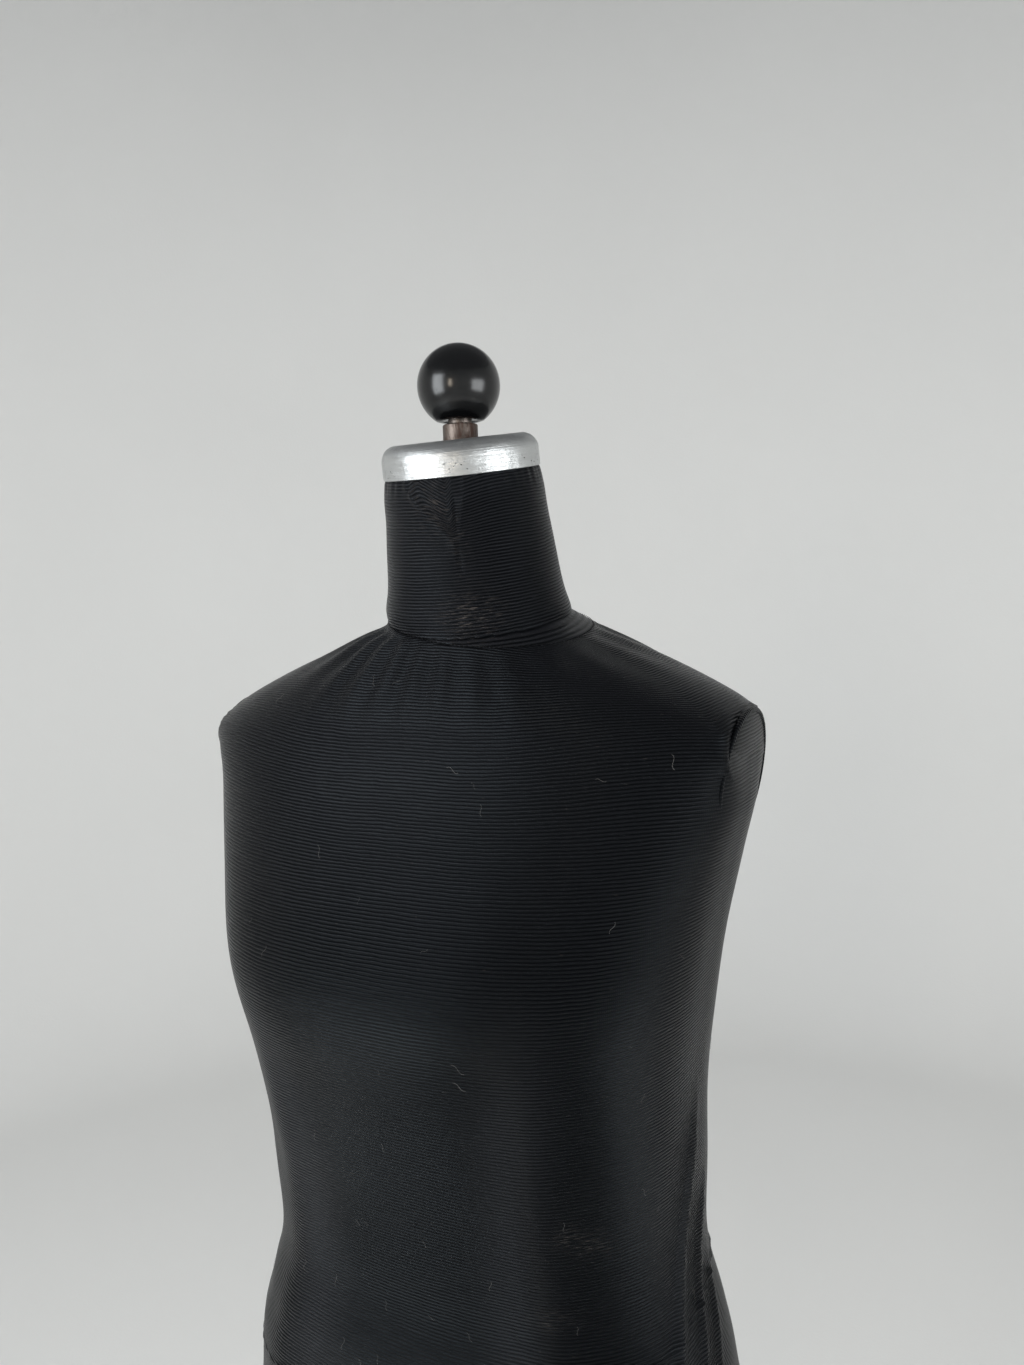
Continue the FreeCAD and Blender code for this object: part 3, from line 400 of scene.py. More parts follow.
class Coating(Enum):
    """Opaque coatings and plastics: colour, roughness, coat, grain in waves per metre, grain depth."""

    ENAMEL = ("black_enamel", (0.012, 0.012, 0.013), 0.30, 0.35, 260.0, 0.00012)
    RAW_IRON = ("raw_iron", (0.085, 0.082, 0.08), 0.75, 0.0, 620.0, 0.0006)
    RUBBER = ("black_rubber", (0.022, 0.022, 0.022), 0.78, 0.0, 900.0, 0.00012)
    PLASTIC = ("black_plastic", (0.020, 0.020, 0.021), 0.48, 0.0, 1500.0, 0.00010)
    NYLON = ("nylon", (0.72, 0.70, 0.62), 0.45, 0.0, 400.0, 0.00005)
    SHELL = ("moulded_shell", (0.50, 0.42, 0.31), 0.70, 0.0, 300.0, 0.0003)
    FELT = ("black_felt", (0.010, 0.010, 0.010), 0.95, 0.0, 2600.0, 0.0004)
    TAPE = ("cotton_tape", (0.016, 0.016, 0.017), 0.88, 0.0, 1900.0, 0.0003)


@dataclass(frozen=True)
class Coated:
    """A coating with grain, dust that gathers on it and uneven gloss."""

    kind: Coating

    def make(self) -> bpy.types.Material:
        """Builds the material on the piece's own coordinates."""
        name, colour, rough, coat, grain_scale, depth = self.kind.value
        g = Graph(name)
        space = g.object_space()
        grain = g.noise(space, grain_scale, 4.0, 0.6)
        broad = g.noise(space, 14.0, 4.0)
        dust = g.noise(space, 420.0, 4.0, 0.7).above(0.58, 0.2)
        pale = tuple(min(1.0, 1.5 * c + 0.02) for c in colour) + (1.0,)
        tint = g.mix(broad * 0.35 + dust * 0.25, colour + (1.0,), pale)
        return g.surface(
            Base_Color=tint, Roughness=rough + (broad - 0.5) * 0.14 + dust * 0.08,
            Normal=g.bump(grain, depth), Coat_Weight=coat, Coat_Roughness=0.12,
        )


class Timber(Enum):
    """Woods: name, pale and dark colour, ring spacing in metres."""

    BEECH = ("beech", (0.62, 0.44, 0.27), (0.45, 0.29, 0.16), 0.004)
    PLYWOOD = ("plywood", (0.66, 0.50, 0.33), (0.46, 0.32, 0.19), 0.0016)


@dataclass(frozen=True)
class Wood:
    """Sanded wood with rings and pores."""

    kind: Timber

    def make(self) -> bpy.types.Material:
        """Builds the material on the piece's own coordinates."""
        name, pale, dark, spacing = self.kind.value
        g = Graph(name)
        space = g.object_space()
        warp = g.noise(g.mapped(space, (6.0, 22.0, 22.0)), 1.0, 3.0)
        split = g.nodes.new("ShaderNodeSeparateXYZ")
        g.links.new(space.socket, split.inputs[0])
        depth = Value(g, split.outputs[2])
        rings = ((depth / spacing + warp * 5.0) * 2.0 * math.pi).cosine() * 0.5 + 0.5
        pores = g.noise(g.mapped(space, (60.0, 900.0, 900.0)), 1.0, 3.0).above(0.55, 0.15)
        tint = g.mix(rings * 0.55 + pores * 0.25, pale + (1.0,), dark + (1.0,))
        return g.surface(
            Base_Color=tint, Roughness=0.58 + pores * 0.12, Normal=g.bump(pores + rings * 0.4, 0.0002),
        )


@dataclass(frozen=True)
class SewingThread:
    """Matt black thread."""

    name: str = "sewing_thread"
    dark: tuple = (0.001, 0.001, 0.001, 1.0)
    light: tuple = (0.006, 0.006, 0.007, 1.0)

    def make(self) -> bpy.types.Material:
        """Builds the material on the piece's own coordinates."""
        g = Graph(self.name)
        twist = g.noise(g.object_space(), 3200.0, 2.0)
        tint = g.mix(twist, self.dark, self.light)
        return g.surface(
            Base_Color=tint, Roughness=0.7, Normal=g.bump(twist, 0.0001), Specular_IOR_Level=0.1,
        )


@dataclass(frozen=True)
class Lint:
    """Pale loose fibres."""

    name: str = "lint"
    dark: tuple = (0.05, 0.048, 0.046, 1.0)
    light: tuple = (0.22, 0.21, 0.20, 1.0)

    def make(self) -> bpy.types.Material:
        """Builds the material on the piece's own coordinates."""
        g = Graph(self.name)
        shade = g.noise(g.object_space(), 40.0, 2.0)
        tint = g.mix(shade, self.dark, self.light)
        return g.surface(Base_Color=tint, Roughness=0.6, Sheen_Weight=0.3)


@dataclass(frozen=True)
class PalePaint:
    """Matt pale grey wall and floor paint."""

    name: str = "pale_paint"
    dark: tuple = (0.70, 0.70, 0.69, 1.0)
    light: tuple = (0.76, 0.76, 0.75, 1.0)

    def make(self) -> bpy.types.Material:
        """Builds the material on the piece's own coordinates."""
        g = Graph(self.name)
        space = g.object_space()
        roller = g.noise(space, 160.0, 4.0)
        broad = g.noise(space, 0.9, 2.0)
        tint = g.mix(broad, self.dark, self.light)
        return g.surface(Base_Color=tint, Roughness=0.85, Normal=g.bump(roller, 0.0003))


class Palette:
    """Makes each finish once."""

    def __init__(self) -> None:
        """Starts with no material made."""
        self._made: dict[object, bpy.types.Material] = {}

    def get(self, finish: object) -> bpy.types.Material:
        """The material of a finish."""
        if finish not in self._made:
            self._made[finish] = finish.make()
        return self._made[finish]


PALETTE = Palette()


# ---- Mesh helpers ------------------------------------------------------------------------------
@dataclass
class Grid:
    """Rows of points that close round the object, with UVs in metres and numbers on the points."""

    points: np.ndarray
    uv: np.ndarray
    uv_name: str
    marks: dict

    def mesh(self, name: str) -> bpy.types.Mesh:
        """Turns the rows into a mesh whose faces point outwards.

        Args:
            name: the mesh's name.

        Returns:
            The mesh, smooth shaded.
        """
        rows, columns = self.points.shape[:2]
        low = np.arange(rows - 1)[:, None] * columns
        here, following = np.arange(columns)[None, :], np.roll(np.arange(columns), -1)[None, :]
        quads = np.stack([low + here, low + following, low + columns + following, low + columns + here], -1)
        quads = quads.reshape(-1, 4)
        mesh = bpy.data.meshes.new(name)
        mesh.vertices.add(rows * columns)
        mesh.vertices.foreach_set("co", self.points.reshape(-1).astype(np.float32))
        mesh.loops.add(quads.size)
        mesh.loops.foreach_set("vertex_index", quads.reshape(-1).astype(np.int32))
        mesh.polygons.add(len(quads))
        mesh.polygons.foreach_set("loop_start", np.arange(0, quads.size, 4, dtype=np.int32))
        mesh.update(calc_edges=True)
        near, far = self.uv[:, :-1], self.uv[:, 1:]
        corners = np.stack([near[:-1], far[:-1], far[1:], near[1:]], 2)
        layer = mesh.uv_layers.new(name=self.uv_name)
        layer.data.foreach_set("uv", corners.reshape(-1).astype(np.float32))
        for mark, numbers in self.marks.items():
            attribute = mesh.attributes.new(mark, "FLOAT", "POINT")
            attribute.data.foreach_set("value", numbers.reshape(-1).astype(np.float32))
        mesh.polygons.foreach_set("use_smooth", np.ones(len(quads), bool))
        mesh.update()
        return mesh


def plain_marks(points: np.ndarray) -> dict:
    """Marks of knit that is neither worn nor stretched."""
    return {mark: np.zeros(points.shape[:2]) for mark in ("wear", "stretch")}


def search_tree(node: str) -> BVHTree:
    """Search tree of a CAD node's mesh."""
    mesh = NODES[node].data
    return BVHTree.FromPolygons([v.co for v in mesh.vertices], [tuple(p.vertices) for p in mesh.polygons])


def place(name: str, mesh: bpy.types.Mesh, finish: object, body: str, slot: str) -> bpy.types.Object:
    """Puts a finished mesh on a body.

    Args:
        name: the piece's name.
        mesh: its mesh, in the frame's coordinates.
        finish: the finish it is dressed in.
        body: the body it rides on.
        slot: the record's slot that it belongs to; not used.

    Returns:
        The piece.
    """
    piece = bpy.data.objects.new(name, mesh)
    bpy.context.scene.collection.objects.link(piece)
    mesh.materials.clear()
    mesh.materials.append(PALETTE.get(finish))
    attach(piece, body)
    LOG.info("%s: %d faces on %s", name, len(mesh.polygons), body)
    return piece


def dress(node: str, finish: object) -> None:
    """Gives a CAD node its finish.

    Args:
        node: the node's name.
        finish: the finish.
    """
    piece = NODES[node]
    piece.data.materials.clear()
    piece.data.materials.append(PALETTE.get(finish))
    LOG.info("%s: dressed", node)


def smoothed(rows: np.ndarray, passes: int) -> np.ndarray:
    """Evens out rows of points that close round the object.

    Args:
        rows: array of rows, columns and coordinates.
        passes: how many times each point moves to its neighbours' mean.

    Returns:
        The evened rows; the first and last row stay.
    """
    out = rows.copy()
    for _ in range(passes):
        out = 0.5 * out + 0.25 * (np.roll(out, 1, 1) + np.roll(out, -1, 1))
        inner = 0.5 * out[1:-1] + 0.25 * (out[:-2] + out[2:])
        out[1:-1] = inner
    return out


def outward(rows: np.ndarray) -> np.ndarray:
    """Unit normals of rows of points that close round the object."""
    around = np.roll(rows, -1, 1) - np.roll(rows, 1, 1)
    up = np.gradient(rows, axis=0)
    normals = np.cross(around, up)
    return normals / np.maximum(np.linalg.norm(normals, axis=-1, keepdims=True), 1e-12)


def wrap(angles: np.ndarray) -> np.ndarray:
    """Angles brought to -pi..pi."""
    return (angles + math.pi) % (2.0 * math.pi) - math.pi


def bell(distance: np.ndarray, width: float) -> np.ndarray:
    """Smooth bump of height 1 that falls off over a width."""
    return np.exp(-((distance / width) ** 2))


def ramp(values: np.ndarray, low: float, high: float) -> np.ndarray:
    """Smooth step from 0 at low to 1 at high."""
    share = np.clip((values - low) / (high - low), 0.0, 1.0)
    return share * share * (3.0 - 2.0 * share)


def ripples(seed: int, *coordinates: np.ndarray) -> np.ndarray:
    """Smooth uneven waves of size about 1 over any number of coordinates in radians."""
    chance = np.random.default_rng(seed)
    total = np.zeros(np.broadcast_shapes(*(c.shape for c in coordinates)))
    for _ in range(7):
        wave = sum(c * chance.integers(1, 4) for c in coordinates)
        total = total + np.sin(wave + chance.uniform(0.0, 2.0 * math.pi)) * chance.uniform(0.3, 1.0)
    return total / 2.2


# ---- Geometry Nodes -----------------------------------------------------------------------------
class Strewn:
    """A geometry tree that copies a small shape along lines or onto points, then makes it real."""

    def __init__(self, name: str) -> None:
        """Makes an empty tree with a geometry input and output."""
        self.tree = bpy.data.node_groups.new(name, "GeometryNodeTree")
        self.tree.interface.new_socket("Geometry", in_out="INPUT", socket_type="NodeSocketGeometry")
        self.tree.interface.new_socket("Geometry", in_out="OUTPUT", socket_type="NodeSocketGeometry")
        self.entry = self.tree.nodes.new("NodeGroupInput")
        self.exit = self.tree.nodes.new("NodeGroupOutput")
        self.values: dict[str, object] = {}

    def size(self, name: str, value: float) -> bpy.types.NodeSocket:
        """Adds a named size.

        Args:
            name: the input's name.
            value: its value in metres, radians or as a count.

        Returns:
            The socket that carries it in the tree.
        """
        kind = "NodeSocketInt" if isinstance(value, int) else "NodeSocketFloat"
        self.tree.interface.new_socket(name, in_out="INPUT", socket_type=kind)
        self.values[name] = value
        return self.entry.outputs[name]

    def node(self, kind: str, settings: dict | None = None, sockets: dict | None = None) -> bpy.types.Node:
        """Adds a node.

        Args:
            kind: the node's type name.
            settings: attributes of the node, set first.
            sockets: numbers or sockets for its inputs, by name or index.

        Returns:
            The node.
        """
        made = self.tree.nodes.new(kind)
        for key, setting in (settings or {}).items():
            setattr(made, key, setting)
        for key, value in (sockets or {}).items():
            if isinstance(value, bpy.types.NodeSocket):
                self.tree.links.new(value, made.inputs[key])
            else:
                made.inputs[key].default_value = value
        return made

    def finish(self, instances: bpy.types.NodeSocket, material: bpy.types.Material) -> None:
        """Makes the copies real and gives them their material."""
        real = self.node("GeometryNodeRealizeInstances", None, {0: instances})
        dressed = self.node("GeometryNodeSetMaterial", None, {0: real.outputs[0], "Material": material})
        self.tree.links.new(dressed.outputs[0], self.exit.inputs[0])

    def baked(self, name: str, base: bpy.types.Mesh) -> bpy.types.Mesh:
        """Runs the tree on a mesh.

        Args:
            name: the new mesh's name.
            base: the points or lines that it copies onto.

        Returns:
            A plain mesh with the copies.
        """
        holder = bpy.data.objects.new(name + "_base", base)
        bpy.context.scene.collection.objects.link(holder)
        modifier = holder.modifiers.new("strewn", "NODES")
        modifier.node_group = self.tree
        for item in self.tree.interface.items_tree:
            if item.item_type == "SOCKET" and item.in_out == "INPUT" and item.name in self.values:
                modifier[item.identifier] = self.values[item.name]
        bpy.context.view_layer.update()
        evaluated = holder.evaluated_get(bpy.context.evaluated_depsgraph_get())
        mesh = bpy.data.meshes.new_from_object(evaluated)
        mesh.name = name
        bpy.data.objects.remove(holder)
        return mesh


def loop_mesh(points: np.ndarray) -> bpy.types.Mesh:
    """A mesh of one closed line through points."""
    mesh = bpy.data.meshes.new("line")
    count = len(points)
    edges = [(i, (i + 1) % count) for i in range(count)]
    mesh.from_pydata([tuple(p) for p in points], edges, [])
    return mesh


def point_mesh(points: np.ndarray, turns: np.ndarray, sizes: np.ndarray) -> bpy.types.Mesh:
    """A mesh of loose points that carry a turn and a size each.

    Args:
        points: their places.
        turns: Euler angles of each copy.
        sizes: the scale of each copy.

    Returns:
        The mesh.
    """
    mesh = bpy.data.meshes.new("points")
    mesh.from_pydata([tuple(p) for p in points], [], [])
    turn = mesh.attributes.new("turn", "FLOAT_VECTOR", "POINT")
    turn.data.foreach_set("vector", np.asarray(turns, np.float32).reshape(-1))
    size = mesh.attributes.new("size", "FLOAT", "POINT")
    size.data.foreach_set("value", np.asarray(sizes, np.float32))
    return mesh


def facing(normals: np.ndarray, spins: np.ndarray) -> np.ndarray:
    """Euler angles that turn +Z to each normal, after a spin about it."""
    turns = []
    for normal, spin in zip(normals, spins):
        quaternion = Vector(normal).to_track_quat("Z", "Y") @ Matrix.Rotation(spin, 3, "Z").to_quaternion()
        turns.append(tuple(quaternion.to_euler()))
    return np.array(turns)


def stitches(name: str, path: np.ndarray, length: float, gap: float, thickness: float,
             finish: object) -> bpy.types.Mesh:
    """Short rounded stitches laid end to end along a closed line.

    Args:
        name: the mesh's name.
        path: points of the line.
        length: length of a stitch.
        gap: gap between two stitches.
        thickness: the thread's thickness.
        finish: the thread's finish.

    Returns:
        One mesh of all the stitches.
    """
    tree = Strewn(name)
    stitch_length = tree.size("Stitch Length", length)
    stitch_step = tree.size("Stitch Step", length + gap)
    stitch_radius = tree.size("Thread Radius", thickness / 2.0)
    curve = tree.node("GeometryNodeMeshToCurve", None, {0: tree.entry.outputs[0]})
    spaced = tree.node(
        "GeometryNodeCurveToPoints", {"mode": "LENGTH"}, {0: curve.outputs[0], "Length": stitch_step},
    )
    body = tree.node("GeometryNodeMeshUVSphere", None, {"Segments": 6, "Rings": 5, "Radius": 1.0})
    half = tree.node("ShaderNodeMath", {"operation": "MULTIPLY"}, {0: stitch_length, 1: 0.5})
    shape = tree.node("ShaderNodeCombineXYZ", None, {0: stitch_radius, 1: stitch_radius, 2: half.outputs[0]})
    copies = tree.node("GeometryNodeInstanceOnPoints", None, {
        0: spaced.outputs[0], "Instance": body.outputs[0], "Rotation": spaced.outputs["Rotation"],
        "Scale": shape.outputs[0],
    })
    tree.finish(copies.outputs[0], PALETTE.get(finish))
    return tree.baked(name, loop_mesh(path))


# ---- The form's covers ----------------------------------------------------------------------------
@dataclass
class NeckFrame:
    """The neck's leaning axis: its origin is the centre of the cap's rim."""

    lean: float = math.radians(9.0)
    cap_height: float = 0.020
    pole_above_cap: float = 0.0085
    length: float = 0.091
    base_radius: float = 0.057
    top_radius: float = 0.0466
    seam_drop_front: float = math.tan(math.radians(-1.0))
    seam_drop_left: float = math.tan(math.radians(7.0))
    far: float = 0.16

    @property
    def origin(self) -> np.ndarray:
        """Centre of the cap's rim."""
        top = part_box("bust_pole")[1].z - self.cap_height - self.pole_above_cap
        return np.array([0.0, 0.0, top])

    @property
    def axes(self) -> tuple[np.ndarray, np.ndarray, np.ndarray]:
        """Sideways, backwards and upwards directions of the neck."""
        sine, cosine = math.sin(self.lean), math.cos(self.lean)
        return np.array([1.0, 0.0, 0.0]), np.array([0.0, cosine, sine]), np.array([0.0, -sine, cosine])

    def at(self, angles: np.ndarray, heights: np.ndarray, radii: np.ndarray) -> np.ndarray:
        """Points at angles about the neck's axis, heights above the rim and distances from the axis."""
        side, back, up = self.axes
        return (
            self.origin + (radii * np.cos(angles))[..., None] * side
            + (radii * np.sin(angles))[..., None] * back + heights[..., None] * up
        )

    def seam_height(self, angles: np.ndarray) -> np.ndarray:
        """Height of the sewn seam above the cap's rim; it runs lower at the form's own left."""
        across = self.base_radius * np.cos(angles) * self.seam_drop_left
        forwards = self.base_radius * np.sin(angles) * self.seam_drop_front
        return -self.length - across - forwards + 0.0006 * ripples(3, angles)

    def radius(self, heights: np.ndarray) -> np.ndarray:
        """Radius of the neck at a height above the rim."""
        share = np.clip(-heights / self.length, -0.2, 1.3)
        return self.top_radius + share * (self.base_radius - self.top_radius)

    def surface_radius(self, angles: np.ndarray, heights: np.ndarray) -> np.ndarray:
        """Distance from the neck's axis to the covers, where the torso spreads past the neck.

        Args:
            angles: angles about the neck's axis.
            heights: heights above the rim.

        Returns:
            The larger of the neck's own radius and the covers' distance.
        """
        angles, heights = np.broadcast_arrays(angles, heights)
        trees = [search_tree(node) for node in ("torso_cover", "neck_cover")]
        radii = self.radius(heights)
        starts = self.at(angles, heights, np.full(angles.shape, self.far))
        ways = self.at(angles, heights, np.zeros(angles.shape)) - starts
        for index in np.argwhere(heights < -0.8 * self.length):
            row = tuple(index)
            for tree in trees:
                hit = tree.ray_cast(Vector(starts[row]), Vector(ways[row]).normalized())
                if hit[0] is not None:
                    radii[row] = max(radii[row], self.far - hit[3])
        return radii


@dataclass
class Ridge:
    """A tight fold of the cover, from its upper to its lower end: angles in degrees, heights in metres."""

    angle_top: float
    height_top: float
    angle_low: float
    height_low: float
    rise: float
    width: float
    bow: float = 0.0

    def lift(self, angles: np.ndarray, points: np.ndarray) -> np.ndarray:
        """How far the fold lifts each point of the torso.

        Args:
            angles: the points' angles about the pole.
            points: the points.

        Returns:
            The lift in metres.
        """
        heights = points[..., 2]
        share = np.clip((self.height_top - heights) / (self.height_top - self.height_low), 0.0, 1.0)
        centre = self.angle_top + share * (self.angle_low - self.angle_top)
        centre = np.radians(centre + self.bow * np.sin(math.pi * share))
        reach = np.hypot(points[..., 0], points[..., 1])
        beside = wrap(angles - centre) * reach
        span = self.height_top - self.height_low
        ends = ramp(heights, self.height_low - 0.2 * span, self.height_low + 0.15 * span)
        ends = ends * (1.0 - ramp(heights, self.height_top - 0.25 * span, self.height_top + 0.1 * span))
        return self.rise * bell(beside, self.width) * ends


@dataclass
class TorsoCover:
    """The stretched knit tube over the torso, from the hem to the neck seam."""

    neck: NeckFrame
    columns: int = 300
    body_rows: int = 262
    top_rows: int = 62
    turn_height: float = 1.330
    far: float = 0.7
    smoothing: int = 10
    corner_cut: float = 0.0012
    hip_step: float = 0.0030
    hip_step_left_share: float = 0.25
    hip_step_height: float = 0.979
    mean_girth: float = 0.80
    cut: tuple = (0.84, 0.86)
    ridges: tuple = (
        Ridge(-2.0, 1.150, -19.0, 0.985, 0.0028, 0.0045, 2.0),
        Ridge(6.5, 1.090, -10.5, 0.975, 0.0022, 0.0038, 1.0),
        Ridge(8.5, 1.035, -3.0, 0.965, 0.0017, 0.0034),
        Ridge(-52.0, 1.200, -41.0, 0.960, 0.0026, 0.016, -1.0),
        Ridge(-128.0, 1.200, -139.0, 0.960, 0.0026, 0.016, 1.0),
        Ridge(-172.0, 1.140, -160.0, 0.960, 0.0012, 0.0060),
        Ridge(176.0, 1.100, -170.0, 0.950, 0.0010, 0.0050),
        Ridge(48.0, 1.300, 40.0, 0.960, 0.0018, 0.018),
        Ridge(132.0, 1.300, 140.0, 0.960, 0.0018, 0.018),
    )

    def _rays(self) -> np.ndarray:
        """Points where the smooth outer surface lies, row by row from the hem."""
        trees = [search_tree(n) for n in ("torso_cover", "left_arm_plate", "right_arm_plate", "neck_cover")]
        low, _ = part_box("torso_cover")
        angles = np.linspace(0.0, 2.0 * math.pi, self.columns, endpoint=False)
        level = self.neck.seam_height(angles)
        seam = self.neck.at(angles, level, self.neck.surface_radius(angles, level))
        centre = np.array([0.0, 0.0, self.turn_height])
        aim = seam - centre
        rise_end = np.arctan2(aim[:, 2], np.hypot(aim[:, 0], aim[:, 1]))
        turn_end = angles + wrap(np.arctan2(aim[:, 1], aim[:, 0]) - angles)
        rows = []
        for height in np.linspace(low.z + 0.0008, self.turn_height, self.body_rows):
            rows.append([self._hit(trees, Vector((0, 0, height)), a, 0.0) for a in angles])
        for share in np.linspace(0.0, 1.0, self.top_rows + 1)[1:-1]:
            turned = angles + (turn_end - angles) * share
            rows.append([
                self._hit(trees, Vector(centre), a, rise * share) for a, rise in zip(turned, rise_end)
            ])
        rows.append(seam)
        return np.array(rows, float)

    def _hit(self, trees: list, centre: Vector, angle: float, rise: float) -> tuple:
        """Outermost point in a direction from a centre.

        Args:
            trees: the surfaces.
            centre: where the direction starts.
            angle: its angle about the pole.
            rise: its angle above the horizontal.

        Returns:
            The point.
        """
        ahead = Vector((math.cos(angle) * math.cos(rise), math.sin(angle) * math.cos(rise), math.sin(rise)))
        start = centre + ahead * self.far
        best = None
        for tree in trees:
            found = tree.ray_cast(start, -ahead)
            if found[0] is not None and (best is None or found[3] < best[3]):
                best = found
        return tuple(best[0])

    def _lift(self, angles: np.ndarray, points: np.ndarray) -> np.ndarray:
        """How far folds, the hip pad's edge and unevenness move each point."""
        heights = points[..., 2]
        lift = sum(ridge.lift(angles, points) for ridge in self.ridges)
        sides = np.abs(np.cos(angles)) ** 1.5
        sides = sides * np.where(np.cos(angles) > 0.0, self.hip_step_left_share, 1.0)
        step = ramp(-heights, -self.hip_step_height - 0.014, 0.014 - self.hip_step_height)
        settle = ramp(heights, self.hip_step_height - 0.14, self.hip_step_height - 0.02)
        lift = lift + self.hip_step * sides * step * settle
        calm = 1.0 - ramp(heights, self.turn_height, self.turn_height + 0.04)
        uneven = ripples(11, angles * 2.0, heights * 22.0) * 0.0005
        return lift + uneven * calm + self._neck_folds(angles, points)

    def _neck_folds(self, angles: np.ndarray, points: np.ndarray) -> np.ndarray:
        """Fine tension folds that spread from the neck seam over the shoulders."""
        origin = self.neck.origin
        from_seam = np.linalg.norm(points - points[-1][None], axis=-1)
        across = np.sin(angles * 9.0 + from_seam * 30.0) * 0.35 + np.sin(angles * 26.0 - from_seam * 22.0)
        sides = 0.3 + np.abs(np.cos(angles - 0.9)) ** 2
        near = bell(from_seam - 0.024, 0.030) * ramp(from_seam, 0.0, 0.008)
        high = ramp(points[..., 2], origin[2] - 0.19, origin[2] - 0.13)
        return 0.0008 * across * sides * near * high

    def grid(self) -> Grid:
        """The cover's rows with its folds, turned in at the seam and under the hem."""
        angles = np.linspace(0.0, 2.0 * math.pi, self.columns, endpoint=False)[None, :]
        true = self._rays()
        rows = smoothed(true, self.smoothing)
        away = outward(true)
        inside = np.clip(-self.corner_cut - ((rows - true) * away).sum(-1), 0.0, None)
        rows = rows + away * inside[..., None]
        rows = rows + outward(rows) * self._lift(angles, rows)[..., None]
        up = self.neck.axes[2]
        inwards = self.neck.origin - rows[-1]
        inwards = inwards - (inwards @ up)[:, None] * up
        inwards = inwards / np.linalg.norm(inwards, axis=1, keepdims=True)
        tucked = [rows[-1] + inwards * 0.0014 - up * 0.0006, rows[-1] + inwards * 0.0022 - up * 0.003]
        to_middle = -rows[0] * np.array([1.0, 1.0, 0.0])
        to_middle = to_middle / np.linalg.norm(to_middle, axis=1, keepdims=True)
        down = np.array([0.0, 0.0, 1.0])
        hem = [
            rows[0] + to_middle * 0.014 - down * 0.0016,
            rows[0] + to_middle * 0.0055 - down * 0.0019,
            rows[0] + to_middle * 0.0016 - down * 0.0014,
        ]
        points = np.concatenate([np.array(hem), rows, np.array(tucked)])
        marks = {"wear": self._wear(angles, points), "stretch": self._stretch_and_painted_light(angles, points)}
        return Grid(points, self._uv(points), "Knit", marks)

    def _stretch_and_painted_light(self, angles: np.ndarray, points: np.ndarray) -> np.ndarray:
        """Where the knit looks lighter: upright lines below the bust, partly knit pulled open and partly
        painted sheen bands, and the chest, painted light strongest on the side facing the left window.
        """
        heights = points[..., 2]
        # Upright lighter bands: partly knit pulled open, partly painted sheen where the ribs catch the
        # windows.
        lines = sum(
            share * bell(wrap(angles - math.radians(degrees)), math.radians(width))
            for degrees, width, share in (
                (-55.0, 9.0, 0.80), (-125.0, 9.0, 0.80), (-12.0, 8.0, 0.55), (-168.0, 8.0, 0.55),
                (55.0, 10.0, 0.6), (125.0, 10.0, 0.6),
            )
        )
        below = 1.0 - ramp(heights, 1.16, 1.26)
        # Painted light: the chest is lighter all round and most on the side that faces the left window.
        middle = 0.35 + 0.65 * bell(wrap(angles + math.radians(110.0)), 1.0)
        chest = 0.75 * ramp(heights, 1.20, 1.36) * middle
        return np.clip(lines * below + chest, 0.0, 1.0)

    def _uv(self, points: np.ndarray) -> np.ndarray:
        """Knit coordinates: metres round the body and metres up the cloth."""
        steps = np.linalg.norm(np.diff(points, axis=0), axis=-1)
        along = np.concatenate([np.zeros((1, points.shape[1])), np.cumsum(steps, axis=0)])
        level = points[..., 2]
        blend = ramp(level, self.turn_height - 0.09, self.turn_height)
        turn_row = int(np.argmin(np.abs(level[:, 0] - (self.turn_height - 0.09))))
        arc = along - along[turn_row][None] + level[turn_row][None]
        length = np.where(level > level[turn_row][None], arc * blend + level * (1.0 - blend), level)
        around = np.linspace(0.0, self.mean_girth, points.shape[1] + 1)[None, :] * np.ones((len(points), 1))
        return np.stack([around, np.concatenate([length, length[:, :1]], 1)], -1)

    def _wear(self, angles: np.ndarray, points: np.ndarray) -> np.ndarray:
        """Rubbed places: a few scuffs about the waist."""
        heights = points[..., 2]
        scuffs = sum(
            bell(wrap(angles - math.radians(degrees)) * 0.13, 0.010) * bell(heights - level, 0.006)
            for degrees, level in (
                (-41.0, 1.101), (-36.0, 1.093), (-46.0, 1.051), (-150.0, 1.02), (60.0, 1.12),
            )
        )
        return np.clip(0.5 * scuffs, 0.0, 1.0)

    def build(self) -> np.ndarray:
        """Makes the cover and gives back its rows of points."""
        grid = self.grid()
        piece = place("torso_knit", grid.mesh("torso_knit"), RibKnit(), "form", "rib_knit")
        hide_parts("torso_cover")
        return grid.points


